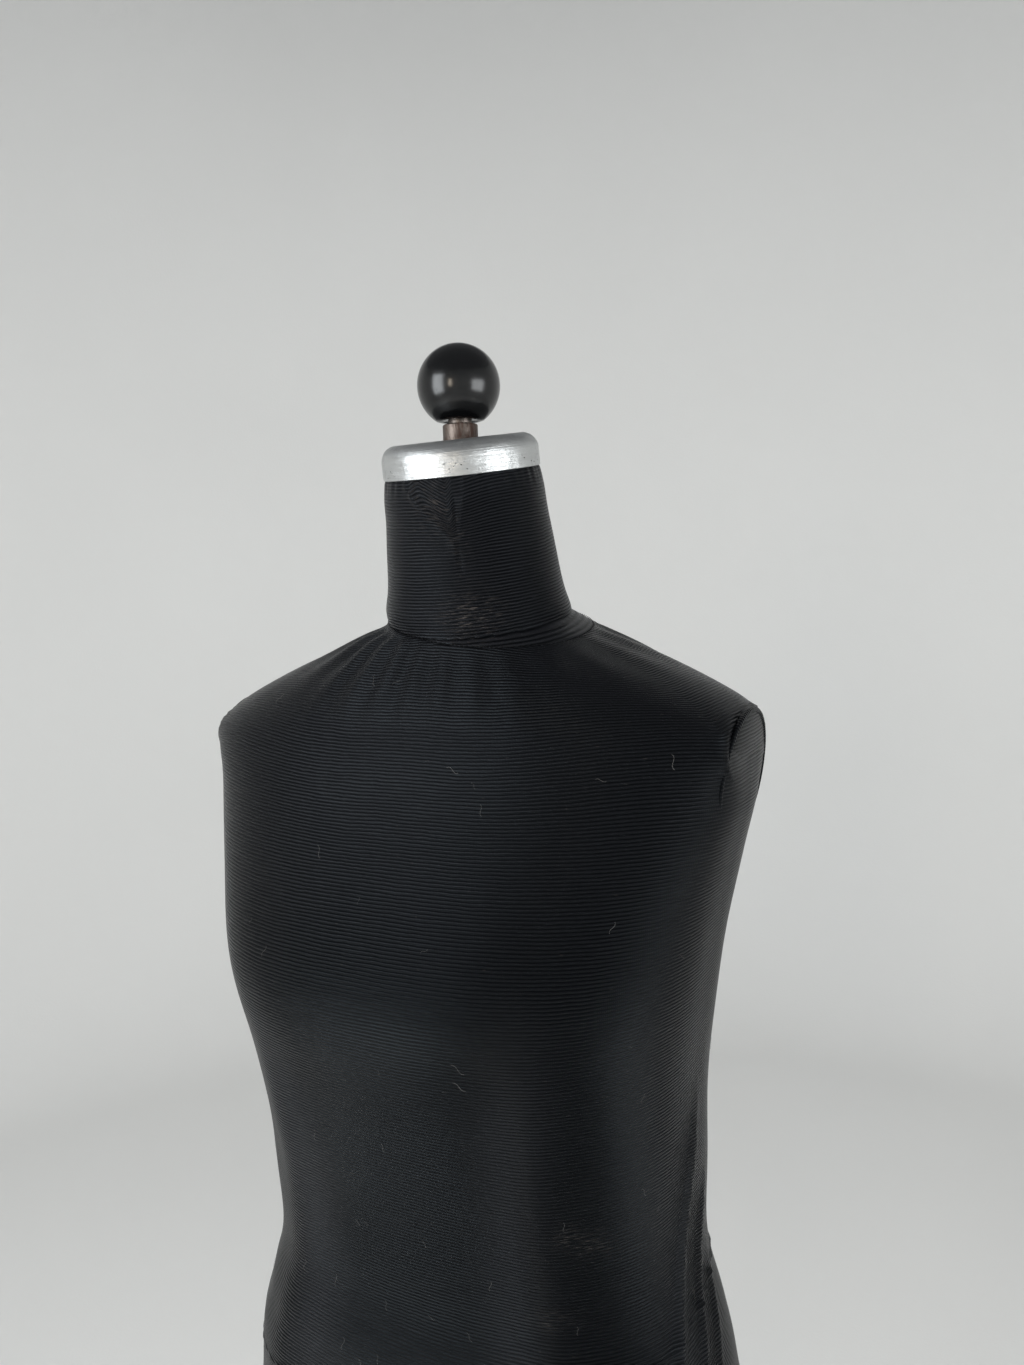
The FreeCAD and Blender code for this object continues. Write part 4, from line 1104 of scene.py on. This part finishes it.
@dataclass
class NeckSleeve:
    """The knit sleeve round the neck, gathered under the cap."""

    neck: NeckFrame
    columns: int = 280
    rows: int = 110
    tuck: float = 0.0085
    bulge: float = 0.0010
    rib_share: float = 1.08
    crease_angle: float = math.radians(-68.0)
    reach: float = 0.047
    mean_radius: float = 0.05
    cut: tuple = (0.33, 0.11)

    def _surface(self) -> tuple[np.ndarray, np.ndarray, np.ndarray, np.ndarray]:
        """Angles, heights, radii and skewed places of the sleeve's rows, seam first."""
        angles = np.linspace(0.0, 2.0 * math.pi, self.columns, endpoint=False)[None, :]
        seam = self.neck.seam_height(angles)
        share = np.linspace(0.0, 1.0, self.rows)[:, None]
        heights = seam + share * (self.tuck - seam)
        radii = self.neck.surface_radius(angles, heights) + self.bulge * bell(heights + 0.012, 0.012)
        radii = radii - 0.0011 * ramp(heights, -0.0015, 0.002)
        foot = heights - seam
        radii = radii + 0.0013 * bell(foot - 0.009, 0.008) - 0.0006 * bell(foot, 0.0035)
        radii = radii + 0.00035 * ripples(5, angles * 2.0, heights * 70.0) * (1.0 - ramp(heights, -0.02, 0.0))
        lift, skewed = self._gathers(angles, heights)
        return angles, heights, radii + lift, skewed

    def _gathers(self, angles: np.ndarray, heights: np.ndarray) -> tuple[np.ndarray, np.ndarray]:
        """Pleats from under the cap, a crease down the front, and fine puckers at the rim.

        Args:
            angles: angles about the neck's axis.
            heights: heights above the rim.

        Returns:
            How far the cloth stands off, and where the ribs run askew between the pleats.
        """
        depth, reach, crease_angle = -heights, self.reach, self.crease_angle
        left_angle = crease_angle - (math.radians(34.0) * (1.0 - ramp(depth, 0.0, 0.044)))
        right_angle = crease_angle + (math.radians(9.0) * (1.0 - ramp(depth, 0.0, 0.040)))
        fade = 1.0 - ramp(depth, 0.030, 0.052)
        left = bell(wrap(angles - left_angle) * reach, 0.0030) * fade
        right = bell(wrap(angles - right_angle) * reach, 0.0017) * fade
        crease = bell(wrap(angles - crease_angle) * reach, 0.0012) * ramp(depth, 0.006, 0.018)
        crease = crease * (1.0 - ramp(depth, 0.044, 0.062))
        between = ramp(wrap(angles - left_angle), 0.0, 0.16)
        between = between * (1.0 - ramp(wrap(angles - crease_angle), -0.10, 0.0))
        puckers = np.sin(angles * 31.0) * 0.5 + np.sin(angles * 47.0 + 1.0) * 0.5
        rim = bell(depth - 0.002, 0.006)
        notch = bell(wrap(angles - math.radians(-101.0)) * reach, 0.0016) * bell(depth - 0.003, 0.0045)
        lift = (
            0.0018 * left + 0.0010 * right - 0.0016 * crease - 0.0006 * between * fade
            + 0.00030 * puckers * rim - 0.0018 * notch
        )
        return lift, between * fade

    def _beside(self, angles: np.ndarray, middle: float, width: float) -> np.ndarray:
        """Smooth bump beside an upright line on the sleeve, a width in metres across."""
        return bell(wrap(angles - middle) * self.mean_radius, width)

    def build(self) -> None:
        """Makes the sleeve and its sewn seam."""
        angles, heights, radii, skewed = self._surface()
        points = self.neck.at(angles + 0.0 * heights, heights, radii)
        up = self.neck.axes[2]
        inwards = self.neck.at(angles[0], heights[0], radii[0] - 0.0018) - up * 0.0012
        deeper = self.neck.at(angles[0], heights[0], radii[0] - 0.0024) - up * 0.003
        points = np.concatenate([deeper[None], inwards[None], points])
        around = np.linspace(0.0, 2.0 * math.pi * 0.052, self.columns + 1)
        along = np.concatenate([heights[:1] - 0.004, heights[:1] - 0.0015, heights])
        skewed = np.concatenate([skewed[:1], skewed[:1], skewed])
        dip = 0.004 * self._beside(angles, self.crease_angle, 0.016) * ramp(along, -0.055, -0.01)
        askew = wrap(angles - math.radians(-85.0)) * 0.02 * skewed
        along = along + dip + askew
        along = np.concatenate([along, along[:, :1]], 1) * self.rib_share
        uv = np.stack([around[None, :] * np.ones((len(along), 1)), along], -1)
        depth = -np.concatenate([heights[:1], heights[:1], heights])
        patch = self._beside(angles, math.radians(-66.0), 0.014) * bell(depth - 0.078, 0.011)
        upper = 0.45 * self._beside(angles, math.radians(-88.0), 0.012) * bell(depth - 0.020, 0.016)
        crease = 0.35 * self._beside(angles, self.crease_angle, 0.006) * bell(depth - 0.036, 0.016)
        fold = 0.55 * skewed * bell(depth - 0.020, 0.020)
        wear = np.clip(patch + upper + crease + fold, 0.0, 1.0)
        # Painted light: the sleeve is lighter on its front toward the left window and darker on the far side.
        stretch = 0.45 + 0.55 * bell(wrap(angles + math.radians(105.0)), 0.9) + 0.0 * depth
        grid = Grid(points, uv, "Knit", {"wear": wear, "stretch": stretch})
        piece = place("neck_knit", grid.mesh("neck_knit"), RibKnit(), "form", "rib_knit")
        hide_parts("neck_cover")
        line = self.neck.at(angles[0], heights[0] + 0.0004, radii[0] + 0.0002)
        thread = stitches("neck_seam_stitches", line, 0.0019, 0.0011, 0.0006, SewingThread())
        place("neck_seam_stitches", thread, SewingThread(), "form", "rib_knit")


@dataclass
class ArmCaps:
    """Knit-covered plates in the armholes, with a piped edge."""

    rings: int = 18
    spokes: int = 96
    crown: float = 0.0022
    wall_depth: float = 0.0040
    proud: float = 0.0014
    oval_share: float = 0.95
    piping_radius: float = 0.0017

    def build(self) -> None:
        """Covers both plates."""
        for side, node in ((1.0, "left_arm_plate"), (-1.0, "right_arm_plate")):
            self._cap(side, node)

    def _cap(self, side: float, node: str) -> None:
        """Covers one plate.

        Args:
            side: +1 for the form's left, -1 for its right.
            node: the plate's node.
        """
        face = self._face(side, node)
        centre = face.mean(0)
        normal = self._normal(face, centre, side)
        shares = np.linspace(0.02, 0.965, self.rings)[::-1][:, None, None]
        points = centre + (face - centre)[None] * shares
        lift = self.crown * (1.0 - shares ** 4) + self.proud
        points = points + normal * lift
        wall = [
            (1.006, -self.wall_depth), (1.007, 0.0), (1.002, 0.6 * self.proud), (0.985, 0.95 * self.proud),
        ]
        rims = [centre + (face - centre) * scale + normal * drop for scale, drop in wall]
        points = np.concatenate([np.array(rims), points])
        if side < 0:
            points = points[:, ::-1]
        flat = points[..., [1, 2]]
        uv = np.concatenate([flat, flat[:, :1]], 1)
        grid = Grid(points, uv, "Knit", plain_marks(points))
        name = node.replace("_plate", "_cap_knit")
        mesh = grid.mesh(name)
        self._close(mesh, points)
        piece = place(name, mesh, RibKnit(), "form", "rib_knit")
        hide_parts(node)
        self._piping(node.replace("_plate", "_piping"), face, centre, normal)

    @staticmethod
    def _close(mesh: bpy.types.Mesh, points: np.ndarray) -> None:
        """Closes the middle of a cap with one small face."""
        shape = bmesh.new()
        shape.from_mesh(mesh)
        shape.verts.ensure_lookup_table()
        last = (points.shape[0] - 1) * points.shape[1]
        middle = shape.faces.new([shape.verts[last + i] for i in range(points.shape[1])])
        middle.smooth = True
        shape.to_mesh(mesh)
        shape.free()

    def _face(self, side: float, node: str) -> np.ndarray:
        """The plate's outer edge, as points in order round it.

        Args:
            side: +1 for the form's left, -1 for its right.
            node: the plate's node.

        Returns:
            The points.
        """
        mesh = NODES[node].data
        tree = search_tree(node)
        corners = np.array([v.co[:] for v in mesh.vertices])
        outer = corners[side * corners[:, 0] > side * corners[:, 0].mean()]
        middle = np.array([0.0, outer[:, 1].mean(), 0.5 * (outer[:, 2].min() + outer[:, 2].max())])
        edge = []
        for angle in np.linspace(0.0, 2.0 * math.pi, self.spokes, endpoint=False):
            way = np.array([0.0, math.cos(angle), math.sin(angle)])
            near, far = 0.0, 0.09
            for _ in range(14):
                reach = 0.5 * (near + far)
                spot = middle + way * reach
                hit = tree.ray_cast(Vector((side * 0.4, spot[1], spot[2])), Vector((-side, 0, 0)))
                flat = hit[0] is not None and side * hit[1].x > 0.9
                near, far = (reach, far) if flat else (near, reach)
            spot = middle + way * near
            hit = tree.ray_cast(Vector((side * 0.4, spot[1], spot[2])), Vector((-side, 0, 0)))
            edge.append(tuple(hit[0]))
        return self._oval(np.array(edge), side)

    def _oval(self, edge: np.ndarray, side: float) -> np.ndarray:
        """An oval as large as an outline allows, in the outline's plane.

        Args:
            edge: points of the outline.
            side: +1 for the form's left, -1 for its right.

        Returns:
            The oval's points in order.
        """
        centre = edge.mean(0)
        normal = self._normal(edge, centre, side)
        up = np.array([0.0, 0.0, 1.0]) - normal[2] * normal
        up = up / np.linalg.norm(up)
        along = np.array([0.0, 1.0, 0.0]) - normal[1] * normal
        along = along / np.linalg.norm(along)
        reach = (edge - centre) @ np.stack([along, up], 1)
        middle = 0.5 * (reach.max(0) + reach.min(0))
        half = 0.5 * (reach.max(0) - reach.min(0)) * self.oval_share
        turns = np.linspace(0.0, 2.0 * math.pi, self.spokes, endpoint=False)[:, None]
        across = (middle[0] + half[0] * np.cos(turns)) * along
        return centre + across + (middle[1] + half[1] * np.sin(turns)) * up

    @staticmethod
    def _normal(face: np.ndarray, centre: np.ndarray, side: float) -> np.ndarray:
        """Outward direction of a plate."""
        total = np.cross(face - centre, np.roll(face, -1, 0) - centre).sum(0)
        total = total / np.linalg.norm(total)
        return total if total[0] * side > 0 else -total

    def _piping(self, name: str, face: np.ndarray, centre: np.ndarray, normal: np.ndarray) -> None:
        """Lays a round piping along a plate's edge."""
        path = centre + (face - centre) * 1.014 + normal * (0.4 * self.proud)
        turns = np.linspace(0.0, 2.0 * math.pi, 12, endpoint=False)
        ahead = np.roll(path, -1, 0) - np.roll(path, 1, 0)
        ahead = ahead / np.linalg.norm(ahead, axis=1, keepdims=True)
        across = np.cross(ahead, normal)
        rings = [
            path + self.piping_radius * (math.cos(t) * across + math.sin(t) * normal[None]) for t in turns
        ]
        points = np.array(rings + rings[:1])
        steps = np.linalg.norm(np.roll(path, -1, 0) - path, axis=1)
        around = np.concatenate([[0.0], np.cumsum(steps)])
        along = np.linspace(0.0, 2.0 * math.pi * self.piping_radius, len(points))
        uv = np.stack(np.broadcast_arrays(along[:, None], around[None, :]), -1)
        grid = Grid(points, uv, "Knit", plain_marks(points))
        place(name, grid.mesh(name), RibKnit(), "form", "rib_knit")


# ---- Turned metal -----------------------------------------------------------------------------------
@dataclass
class Turning:
    """A turned piece about a leaning or upright axis."""

    segments: int = 192

    def grid(self, outline: list, at: object) -> Grid:
        """Rows of a turned outline.

        Args:
            outline: (radius, height) points, outer face upwards.
            at: function of angles, heights and radii that gives points.

        Returns:
            The grid, with the UV map "Turned" in metres.
        """
        profile = np.array(outline)
        angles = np.linspace(0.0, 2.0 * math.pi, self.segments, endpoint=False)[None, :]
        radii = profile[:, :1] + 0.0 * angles
        heights = profile[:, 1:] + 0.0 * angles
        points = at(angles + 0.0 * heights, heights, radii)
        steps = np.concatenate([[0.0], np.cumsum(np.linalg.norm(np.diff(profile, axis=0), axis=1))])
        widest = float(profile[:, 0].max())
        around = np.linspace(0.0, 2.0 * math.pi * widest, self.segments + 1)
        uv = np.stack(np.broadcast_arrays(around[None, :], steps[:, None]), -1)
        return Grid(points, uv, "Turned", {"dull_and_painted_shade": np.zeros(points.shape[:2])})


def arc(centre: tuple, radius: float, start: float, end: float, count: int) -> list:
    """Points of an arc in an outline.

    Args:
        centre: its centre, (radius, height).
        radius: its radius.
        start: first angle in degrees.
        end: last angle in degrees.
        count: number of points.

    Returns:
        The points.
    """
    angles = np.radians(np.linspace(start, end, count))
    return [(centre[0] + radius * math.cos(a), centre[1] + radius * math.sin(a)) for a in angles]


@dataclass
class NeckCap:
    """The spun aluminium cap with a rolled rim, a rounded shoulder and a dished middle."""

    neck: NeckFrame
    radius: float = 0.0477
    wall: float = 0.0012
    corner: float = 0.0098
    dish: float = 0.0205
    dish_depth: float = 0.003
    hole: float = 0.0124

    def build(self) -> None:
        """Makes the cap."""
        top = self.neck.cap_height
        outline = [(self.radius - self.wall, 0.008), (self.radius - self.wall, 0.0006)]
        outline += arc((self.radius - self.wall / 2, self.wall / 2), self.wall / 2, 180, 360, 9)
        outline += [(self.radius + 0.00005, 0.0030), (self.radius, 0.0065)]
        outline += arc((self.radius - self.corner, top - self.corner), self.corner, 0, 82, 22)
        outline += [(self.dish + 0.010, top - 0.0001), (self.dish + 0.004, top)]
        outline += arc((self.dish + 0.0016, top - 0.0016), 0.0016, 90, 180, 7)
        outline += arc((self.dish - 0.0012, top - self.dish_depth + 0.0012), 0.0012, 0, -90, 6)
        outline += [(self.hole + 0.002, top - self.dish_depth), (self.hole, top - self.dish_depth)]
        outline += [(self.hole, top - self.dish_depth - self.wall)]
        grid = Turning(256).grid(outline, self._dented)
        heights = np.array(outline)[:, 1:]
        radii = np.array(outline)[:, :1]
        angles = np.linspace(0.0, 2.0 * math.pi, 256, endpoint=False)[None, :]
        shoulder = ramp(heights, 0.0105, 0.0165) * (1.0 - 0.35 * ramp(radii, 0.026, 0.022))
        patches = 0.72 + 0.28 * ripples(21, angles * 2.0, heights * 300.0)
        # Painted shade: the cap's two ends, where the camera sees its edges, are darkened like dark edge
        # reflections.
        ends = 0.45 * np.abs(np.cos(angles - math.radians(30.0))) ** 6
        grid.marks["dull_and_painted_shade"] = np.clip(shoulder * patches + ends, 0.0, 1.0)
        piece = place("neck_cap_spun", grid.mesh("neck_cap_spun"), SpunAluminium(), "form", "spun_aluminium")
        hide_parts("neck_cap")

    def _dented(self, angles: np.ndarray, heights: np.ndarray, radii: np.ndarray) -> np.ndarray:
        """Places the outline on the neck with slight dents and waviness."""
        low = 1.0 - ramp(heights, 0.006, 0.014)
        waves = 0.00020 * ripples(17, angles, heights * 120.0)
        dents = sum(
            depth * bell(wrap(angles - math.radians(degrees)) * self.radius, width)
            * bell(heights - level, width)
            for degrees, level, width, depth in (
                (-112.0, 0.004, 0.006, -0.00035), (-48.0, 0.007, 0.005, -0.00030),
                (-22.0, 0.003, 0.005, -0.0003), (140.0, 0.006, 0.008, -0.0004), (60.0, 0.005, 0.006, -0.0003),
            )
        )
        outer = ramp(radii, self.radius - 0.0095, self.radius - 0.004)
        return self.neck.at(angles, heights, radii + outer * (waves + dents + 0.00008 * low))


def upright(angles: np.ndarray, heights: np.ndarray, radii: np.ndarray) -> np.ndarray:
    """Points of a turned piece on the pole's axis."""
    return np.stack(np.broadcast_arrays(radii * np.cos(angles), radii * np.sin(angles), heights), -1)


@dataclass
class KnobAndPole:
    """The ball knob, its bush, and the pole that shows under it."""

    edge: float = 0.0011

    def build(self) -> None:
        """Makes the ball and the pole and dresses their small parts."""
        self._ball()
        self._pole()
        dress("knob_insert", DrawnMetal(Metal.DARK_STEEL))
        dress("knob_stud", DrawnMetal(Metal.DARK_STEEL))
        dress("pole_top_plug", DrawnMetal(Metal.DARK_STEEL))

    def _ball(self) -> None:
        """Makes the ball, with a softly rounded flat underside and its socket."""
        low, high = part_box("ball_knob")
        radius = (high.x - low.x) / 2.0
        centre = high.z - radius
        bush = (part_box("knob_insert")[1].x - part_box("knob_insert")[0].x) / 2.0 + 0.0001
        drop = centre - low.z
        flat = math.degrees(math.acos(drop / radius))
        outline = [(bush, low.z + 0.004), (bush, low.z + 0.0004), (bush + 0.0004, low.z)]
        outline += [(radius * math.sin(math.radians(flat)) - self.edge, low.z)]
        outline += arc((0.0, centre), radius, -90.0 + flat + 2.0, 89.0, 72)
        outline += [(0.00002, high.z)]
        grid = Turning(144).grid(outline, upright)
        mesh = grid.mesh("ball_knob_polished")
        piece = place("ball_knob_polished", mesh, Phenolic(), "knob", "black_phenolic")
        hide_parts("ball_knob")

    def _pole(self) -> None:
        """Makes the pole with its rounded, slightly hammered top edge."""
        low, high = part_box("bust_pole")
        radius = high.x
        inner = radius - 0.0026
        outline = [(inner, low.z), (radius - 0.0004, low.z), (radius, low.z + 0.0004)]
        outline += [(radius, z) for z in np.linspace(low.z + 0.05, high.z - 0.0022, 60)]
        outline += arc((radius - 0.0010, high.z - 0.0010), 0.0010, 0, 90, 7)
        outline += [(inner + 0.0004, high.z), (inner, high.z - 0.0004), (inner, high.z - 0.02)]
        grid = Turning(96).grid(outline, self._worn)
        piece = place("pole_pipe", grid.mesh("pole_pipe"), RustyPipe(), "pole", "rusty_pipe")
        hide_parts("bust_pole")

    @staticmethod
    def _worn(angles: np.ndarray, heights: np.ndarray, radii: np.ndarray) -> np.ndarray:
        """Places the pole's outline, with small nicks near its top."""
        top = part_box("bust_pole")[1].z
        near = ramp(heights, top - 0.012, top - 0.001)
        nicks = -0.00018 * near * np.clip(ripples(31, angles * 3.0, heights * 500.0), 0.0, 1.0)
        return upright(angles, heights, radii + nicks)


# ---- Hem, loose fibres and fasteners ---------------------------------------------------------------
@dataclass
class HemTacks:
    """Domed tacks that hold the hem band to the bottom board."""

    count: int = 28
    head: float = 0.0052
    inset: float = 0.0155

    def build(self, hem: np.ndarray) -> None:
        """Makes the tacks from the cover's lowest full row.

        Args:
            hem: points of the cover's lower edge.
        """
        steps = np.linalg.norm(np.roll(hem, -1, 0) - hem, axis=1)
        along = np.concatenate([[0.0], np.cumsum(steps)])
        wanted = np.linspace(0.0, along[-1], self.count, endpoint=False)
        closed = np.concatenate([hem, hem[:1]])
        places = np.stack([np.interp(wanted, along, closed[:, k]) for k in range(3)], -1)
        inwards = -places * np.array([1.0, 1.0, 0.0])
        places = places + inwards / np.linalg.norm(inwards, axis=1, keepdims=True) * self.inset
        places[:, 2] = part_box("hem_band")[0].z - 0.0001
        normals = np.tile([0.0, 0.0, -1.0], (self.count, 1))
        spins = np.linspace(0.0, 5.0, self.count)
        base = point_mesh(places, facing(normals, spins), np.ones(self.count))
        tree = Strewn("hem_tacks_tree")
        radius = tree.size("Head Radius", self.head / 2.0)
        thick = tree.size("Head Height", 0.0008)
        dome = tree.node("GeometryNodeMeshUVSphere", None, {"Segments": 14, "Rings": 8, "Radius": 1.0})
        shape = tree.node("ShaderNodeCombineXYZ", None, {0: radius, 1: radius, 2: thick})
        turn = tree.node("GeometryNodeInputNamedAttribute", {"data_type": "FLOAT_VECTOR"}, {"Name": "turn"})
        copies = tree.node("GeometryNodeInstanceOnPoints", None, {
            0: tree.entry.outputs[0], "Instance": dome.outputs[0], "Rotation": turn.outputs[0],
            "Scale": shape.outputs[0],
        })
        tree.finish(copies.outputs[0], PALETTE.get(DrawnMetal(Metal.ZINC)))
        mesh = tree.baked("hem_tack_heads", base)
        piece = place("hem_tack_heads", mesh, DrawnMetal(Metal.ZINC), "form", "zinc_steel")
        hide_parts("hem_tacks")


@dataclass
class LooseFibres:
    """Bits of lint and short hairs that cling to the knit."""

    count: int = 170
    seed: int = 8
    length: float = 0.0065
    thickness: float = 0.00011

    def build(self, torso: np.ndarray) -> None:
        """Scatters the fibres over the torso.

        Args:
            torso: the cover's rows of points.
        """
        chance = np.random.default_rng(self.seed)
        normals = outward(torso)
        rows = chance.integers(8, torso.shape[0] - 8, self.count)
        columns = chance.integers(0, torso.shape[1], self.count)
        places = torso[rows, columns] + normals[rows, columns] * 0.00035
        turns = facing(normals[rows, columns], chance.uniform(0.0, 2.0 * math.pi, self.count))
        base = point_mesh(places, turns, chance.uniform(0.35, 1.3, self.count))
        tree = Strewn("loose_fibres_tree")
        length = tree.size("Fibre Length", self.length)
        radius = tree.size("Fibre Radius", self.thickness / 2.0)
        bend = tree.node("GeometryNodeCurvePrimitiveBezierSegment", None, {
            "Start": (-0.5, 0.0, -0.1), "Start Handle": (-0.2, 0.35, 0.25),
            "End Handle": (0.2, -0.35, 0.22), "End": (0.5, 0.05, -0.1), "Resolution": 7,
        })
        sized = tree.node("GeometryNodeTransform", None, {0: bend.outputs[0]})
        stretch = tree.node("ShaderNodeCombineXYZ", None, {0: length, 1: length, 2: radius})
        tree.tree.links.new(stretch.outputs[0], sized.inputs["Scale"])
        section = tree.node("GeometryNodeCurvePrimitiveCircle", None, {"Resolution": 3, "Radius": radius})
        hair = tree.node("GeometryNodeCurveToMesh", None, {0: sized.outputs[0], 1: section.outputs[0]})
        turn = tree.node("GeometryNodeInputNamedAttribute", {"data_type": "FLOAT_VECTOR"}, {"Name": "turn"})
        size = tree.node("GeometryNodeInputNamedAttribute", {"data_type": "FLOAT"}, {"Name": "size"})
        copies = tree.node("GeometryNodeInstanceOnPoints", None, {
            0: tree.entry.outputs[0], "Instance": hair.outputs[0], "Rotation": turn.outputs[0],
            "Scale": size.outputs[0],
        })
        tree.finish(copies.outputs[0], PALETTE.get(Lint()))
        mesh = tree.baked("loose_fibres", base)
        place("loose_fibres", mesh, Lint(), "form", "rib_knit")


@dataclass
class Fittings:
    """CAD parts whose shape stays and that only get their finish."""

    def build(self) -> None:
        """Dresses every carried-over node."""
        finishes = {
            DrawnMetal(Metal.ZINC): ("base_bolt", "base_washer", "clamp_screw", "neck_screws", "board_screws",
                                     "flange_screws"),
            DrawnMetal(Metal.TUBE_STEEL): ("stand_tube",),
            DrawnMetal(Metal.DARK_STEEL): ("collar_screw",),
            DrawnMetal(Metal.BRASS): ("cap_brads",),
            Coated(Coating.ENAMEL): ("base_cover", "base_hub", "clamp_collar", "pole_collar",
                                     "bottom_flange"),
            Coated(Coating.RAW_IRON): ("base_weight",),
            Coated(Coating.RUBBER): ("base_feet",),
            Coated(Coating.PLASTIC): ("clamp_knob",),
            Coated(Coating.NYLON): ("tube_bush", "pole_foot", "thrust_washer", "neck_bush", "flange_bush"),
            Coated(Coating.SHELL): ("front_shell", "back_shell"),
            Coated(Coating.FELT): ("neck_washer",),
            Coated(Coating.TAPE): ("hem_band",),
            Wood(Timber.BEECH): ("neck_block",),
            Wood(Timber.PLYWOOD): ("bottom_board", "left_side_strip", "right_side_strip"),
        }
        for finish, nodes in finishes.items():
            for node in nodes:
                dress(node, finish)


# ---- Studio -------------------------------------------------------------------------------------------
@dataclass
class Window:
    """A soft rectangular light that faces the form: bearing in degrees, as a viewer's place round it."""

    name: str
    bearing: float
    height: float
    distance: float
    width: float
    tall: float
    watts: float
    colour: tuple = (1.0, 1.0, 1.0)
    mirrored: bool = True


@dataclass
class Studio:
    """Pale floor with a curved backdrop all round, soft windows and a pale sky."""

    radius: float = 3.1
    cove: float = 0.7
    wall: float = 3.6
    segments: int = 128
    sky_strength: float = 0.17
    sky_colour: tuple = (0.95, 0.97, 1.0, 1.0)
    aim_height: float = 1.45
    windows: tuple = (
        Window("left_window", -29.0, 1.62, 2.4, 1.3, 1.9, 58.0, (0.93, 0.97, 1.0)),
        Window("right_window", 84.0, 1.36, 2.4, 1.5, 1.1, 30.0, (0.95, 0.98, 1.0)),
        Window("warm_lamp", 7.0, 1.60, 2.6, 0.22, 0.7, 8.0, (1.0, 0.86, 0.70)),
        Window("ceiling_panel", 30.0, 3.3, 0.4, 2.4, 2.4, 34.0, (1.0, 0.99, 0.97), False),
    )

    def build(self) -> None:
        """Makes the backdrop, the lights and the sky."""
        outline = [(0.001, 0.0), (0.6, 0.0), (self.radius - self.cove, 0.0)]
        outline += arc((self.radius - self.cove, self.cove), self.cove, -90, 0, 16)[1:]
        outline += [(self.radius, self.wall)]
        grid = Turning(self.segments).grid(outline, upright)
        mesh = grid.mesh("backdrop")
        mesh.flip_normals()
        backdrop = bpy.data.objects.new("backdrop", mesh)
        bpy.context.scene.collection.objects.link(backdrop)
        mesh.materials.append(PALETTE.get(PalePaint()))
        for window in self.windows:
            self._light(window)
        world = bpy.data.worlds.new("sky")
        world.use_nodes = True
        sky = world.node_tree.nodes["Background"].inputs
        sky[0].default_value = self.sky_colour
        sky[1].default_value = self.sky_strength
        bpy.context.scene.world = world

    def _light(self, window: Window) -> None:
        """Makes one area light that faces the form."""
        light = bpy.data.lights.new(window.name, "AREA")
        light.shape = "RECTANGLE"
        light.size, light.size_y = window.width, window.tall
        light.energy = window.watts
        light.color = window.colour
        lamp = bpy.data.objects.new(window.name, light)
        bearing = math.radians(window.bearing)
        spot = Vector((math.sin(bearing), -math.cos(bearing), 0.0)) * window.distance
        spot.z = window.height
        target = Vector((0.0, 0.0, min(window.height, self.aim_height)))
        lamp.location = spot
        lamp.rotation_mode = "QUATERNION"
        lamp.rotation_quaternion = (target - spot).to_track_quat("-Z", "Y")
        lamp.visible_camera = False
        lamp.visible_glossy = window.mirrored
        bpy.context.scene.collection.objects.link(lamp)


@dataclass
class Viewpoint:
    """The camera: place in metres, directions in degrees, lens and sensor in millimetres."""

    place: tuple = (0.3159, -0.5485, 1.4494)
    yaw: float = -27.6
    pitch: float = 5.82
    roll: float = -2.02
    lens: float = 27.0277
    sensor: float = 36.0

    def build(self) -> None:
        """Makes the scene's camera."""
        data = bpy.data.cameras.new("camera")
        data.sensor_width = self.sensor
        data.sensor_fit = "AUTO"
        data.lens = self.lens
        data.clip_start = 0.01
        camera = bpy.data.objects.new("camera", data)
        yaw, pitch, roll = (math.radians(v) for v in (self.yaw, self.pitch, self.roll))
        ahead = Vector((math.sin(yaw) * math.cos(pitch), math.cos(yaw) * math.cos(pitch), -math.sin(pitch)))
        right = Vector((math.cos(yaw), -math.sin(yaw), 0.0))
        above = right.cross(ahead)
        turned_right = right * math.cos(roll) + above * math.sin(roll)
        turned_up = above * math.cos(roll) - right * math.sin(roll)
        axes = Matrix((turned_right, turned_up, -ahead)).transposed()
        camera.matrix_world = Matrix.Translation(self.place) @ axes.to_4x4()
        bpy.context.scene.collection.objects.link(camera)
        bpy.context.scene.camera = camera


def main() -> None:
    """Builds every sub-assembly in order."""
    logging.basicConfig(level=logging.INFO, format="%(name)s %(message)s")
    view = bpy.context.scene.view_settings
    view.view_transform = "Standard"
    neck = NeckFrame()
    torso = TorsoCover(neck)
    rows = torso.build()
    NeckSleeve(neck).build()
    ArmCaps().build()
    NeckCap(neck).build()
    KnobAndPole().build()
    HemTacks().build(rows[3])
    LooseFibres().build(rows[3:-2])
    Fittings().build()
    Studio().build()
    Viewpoint().build()


if __name__ == "__main__":
    main()
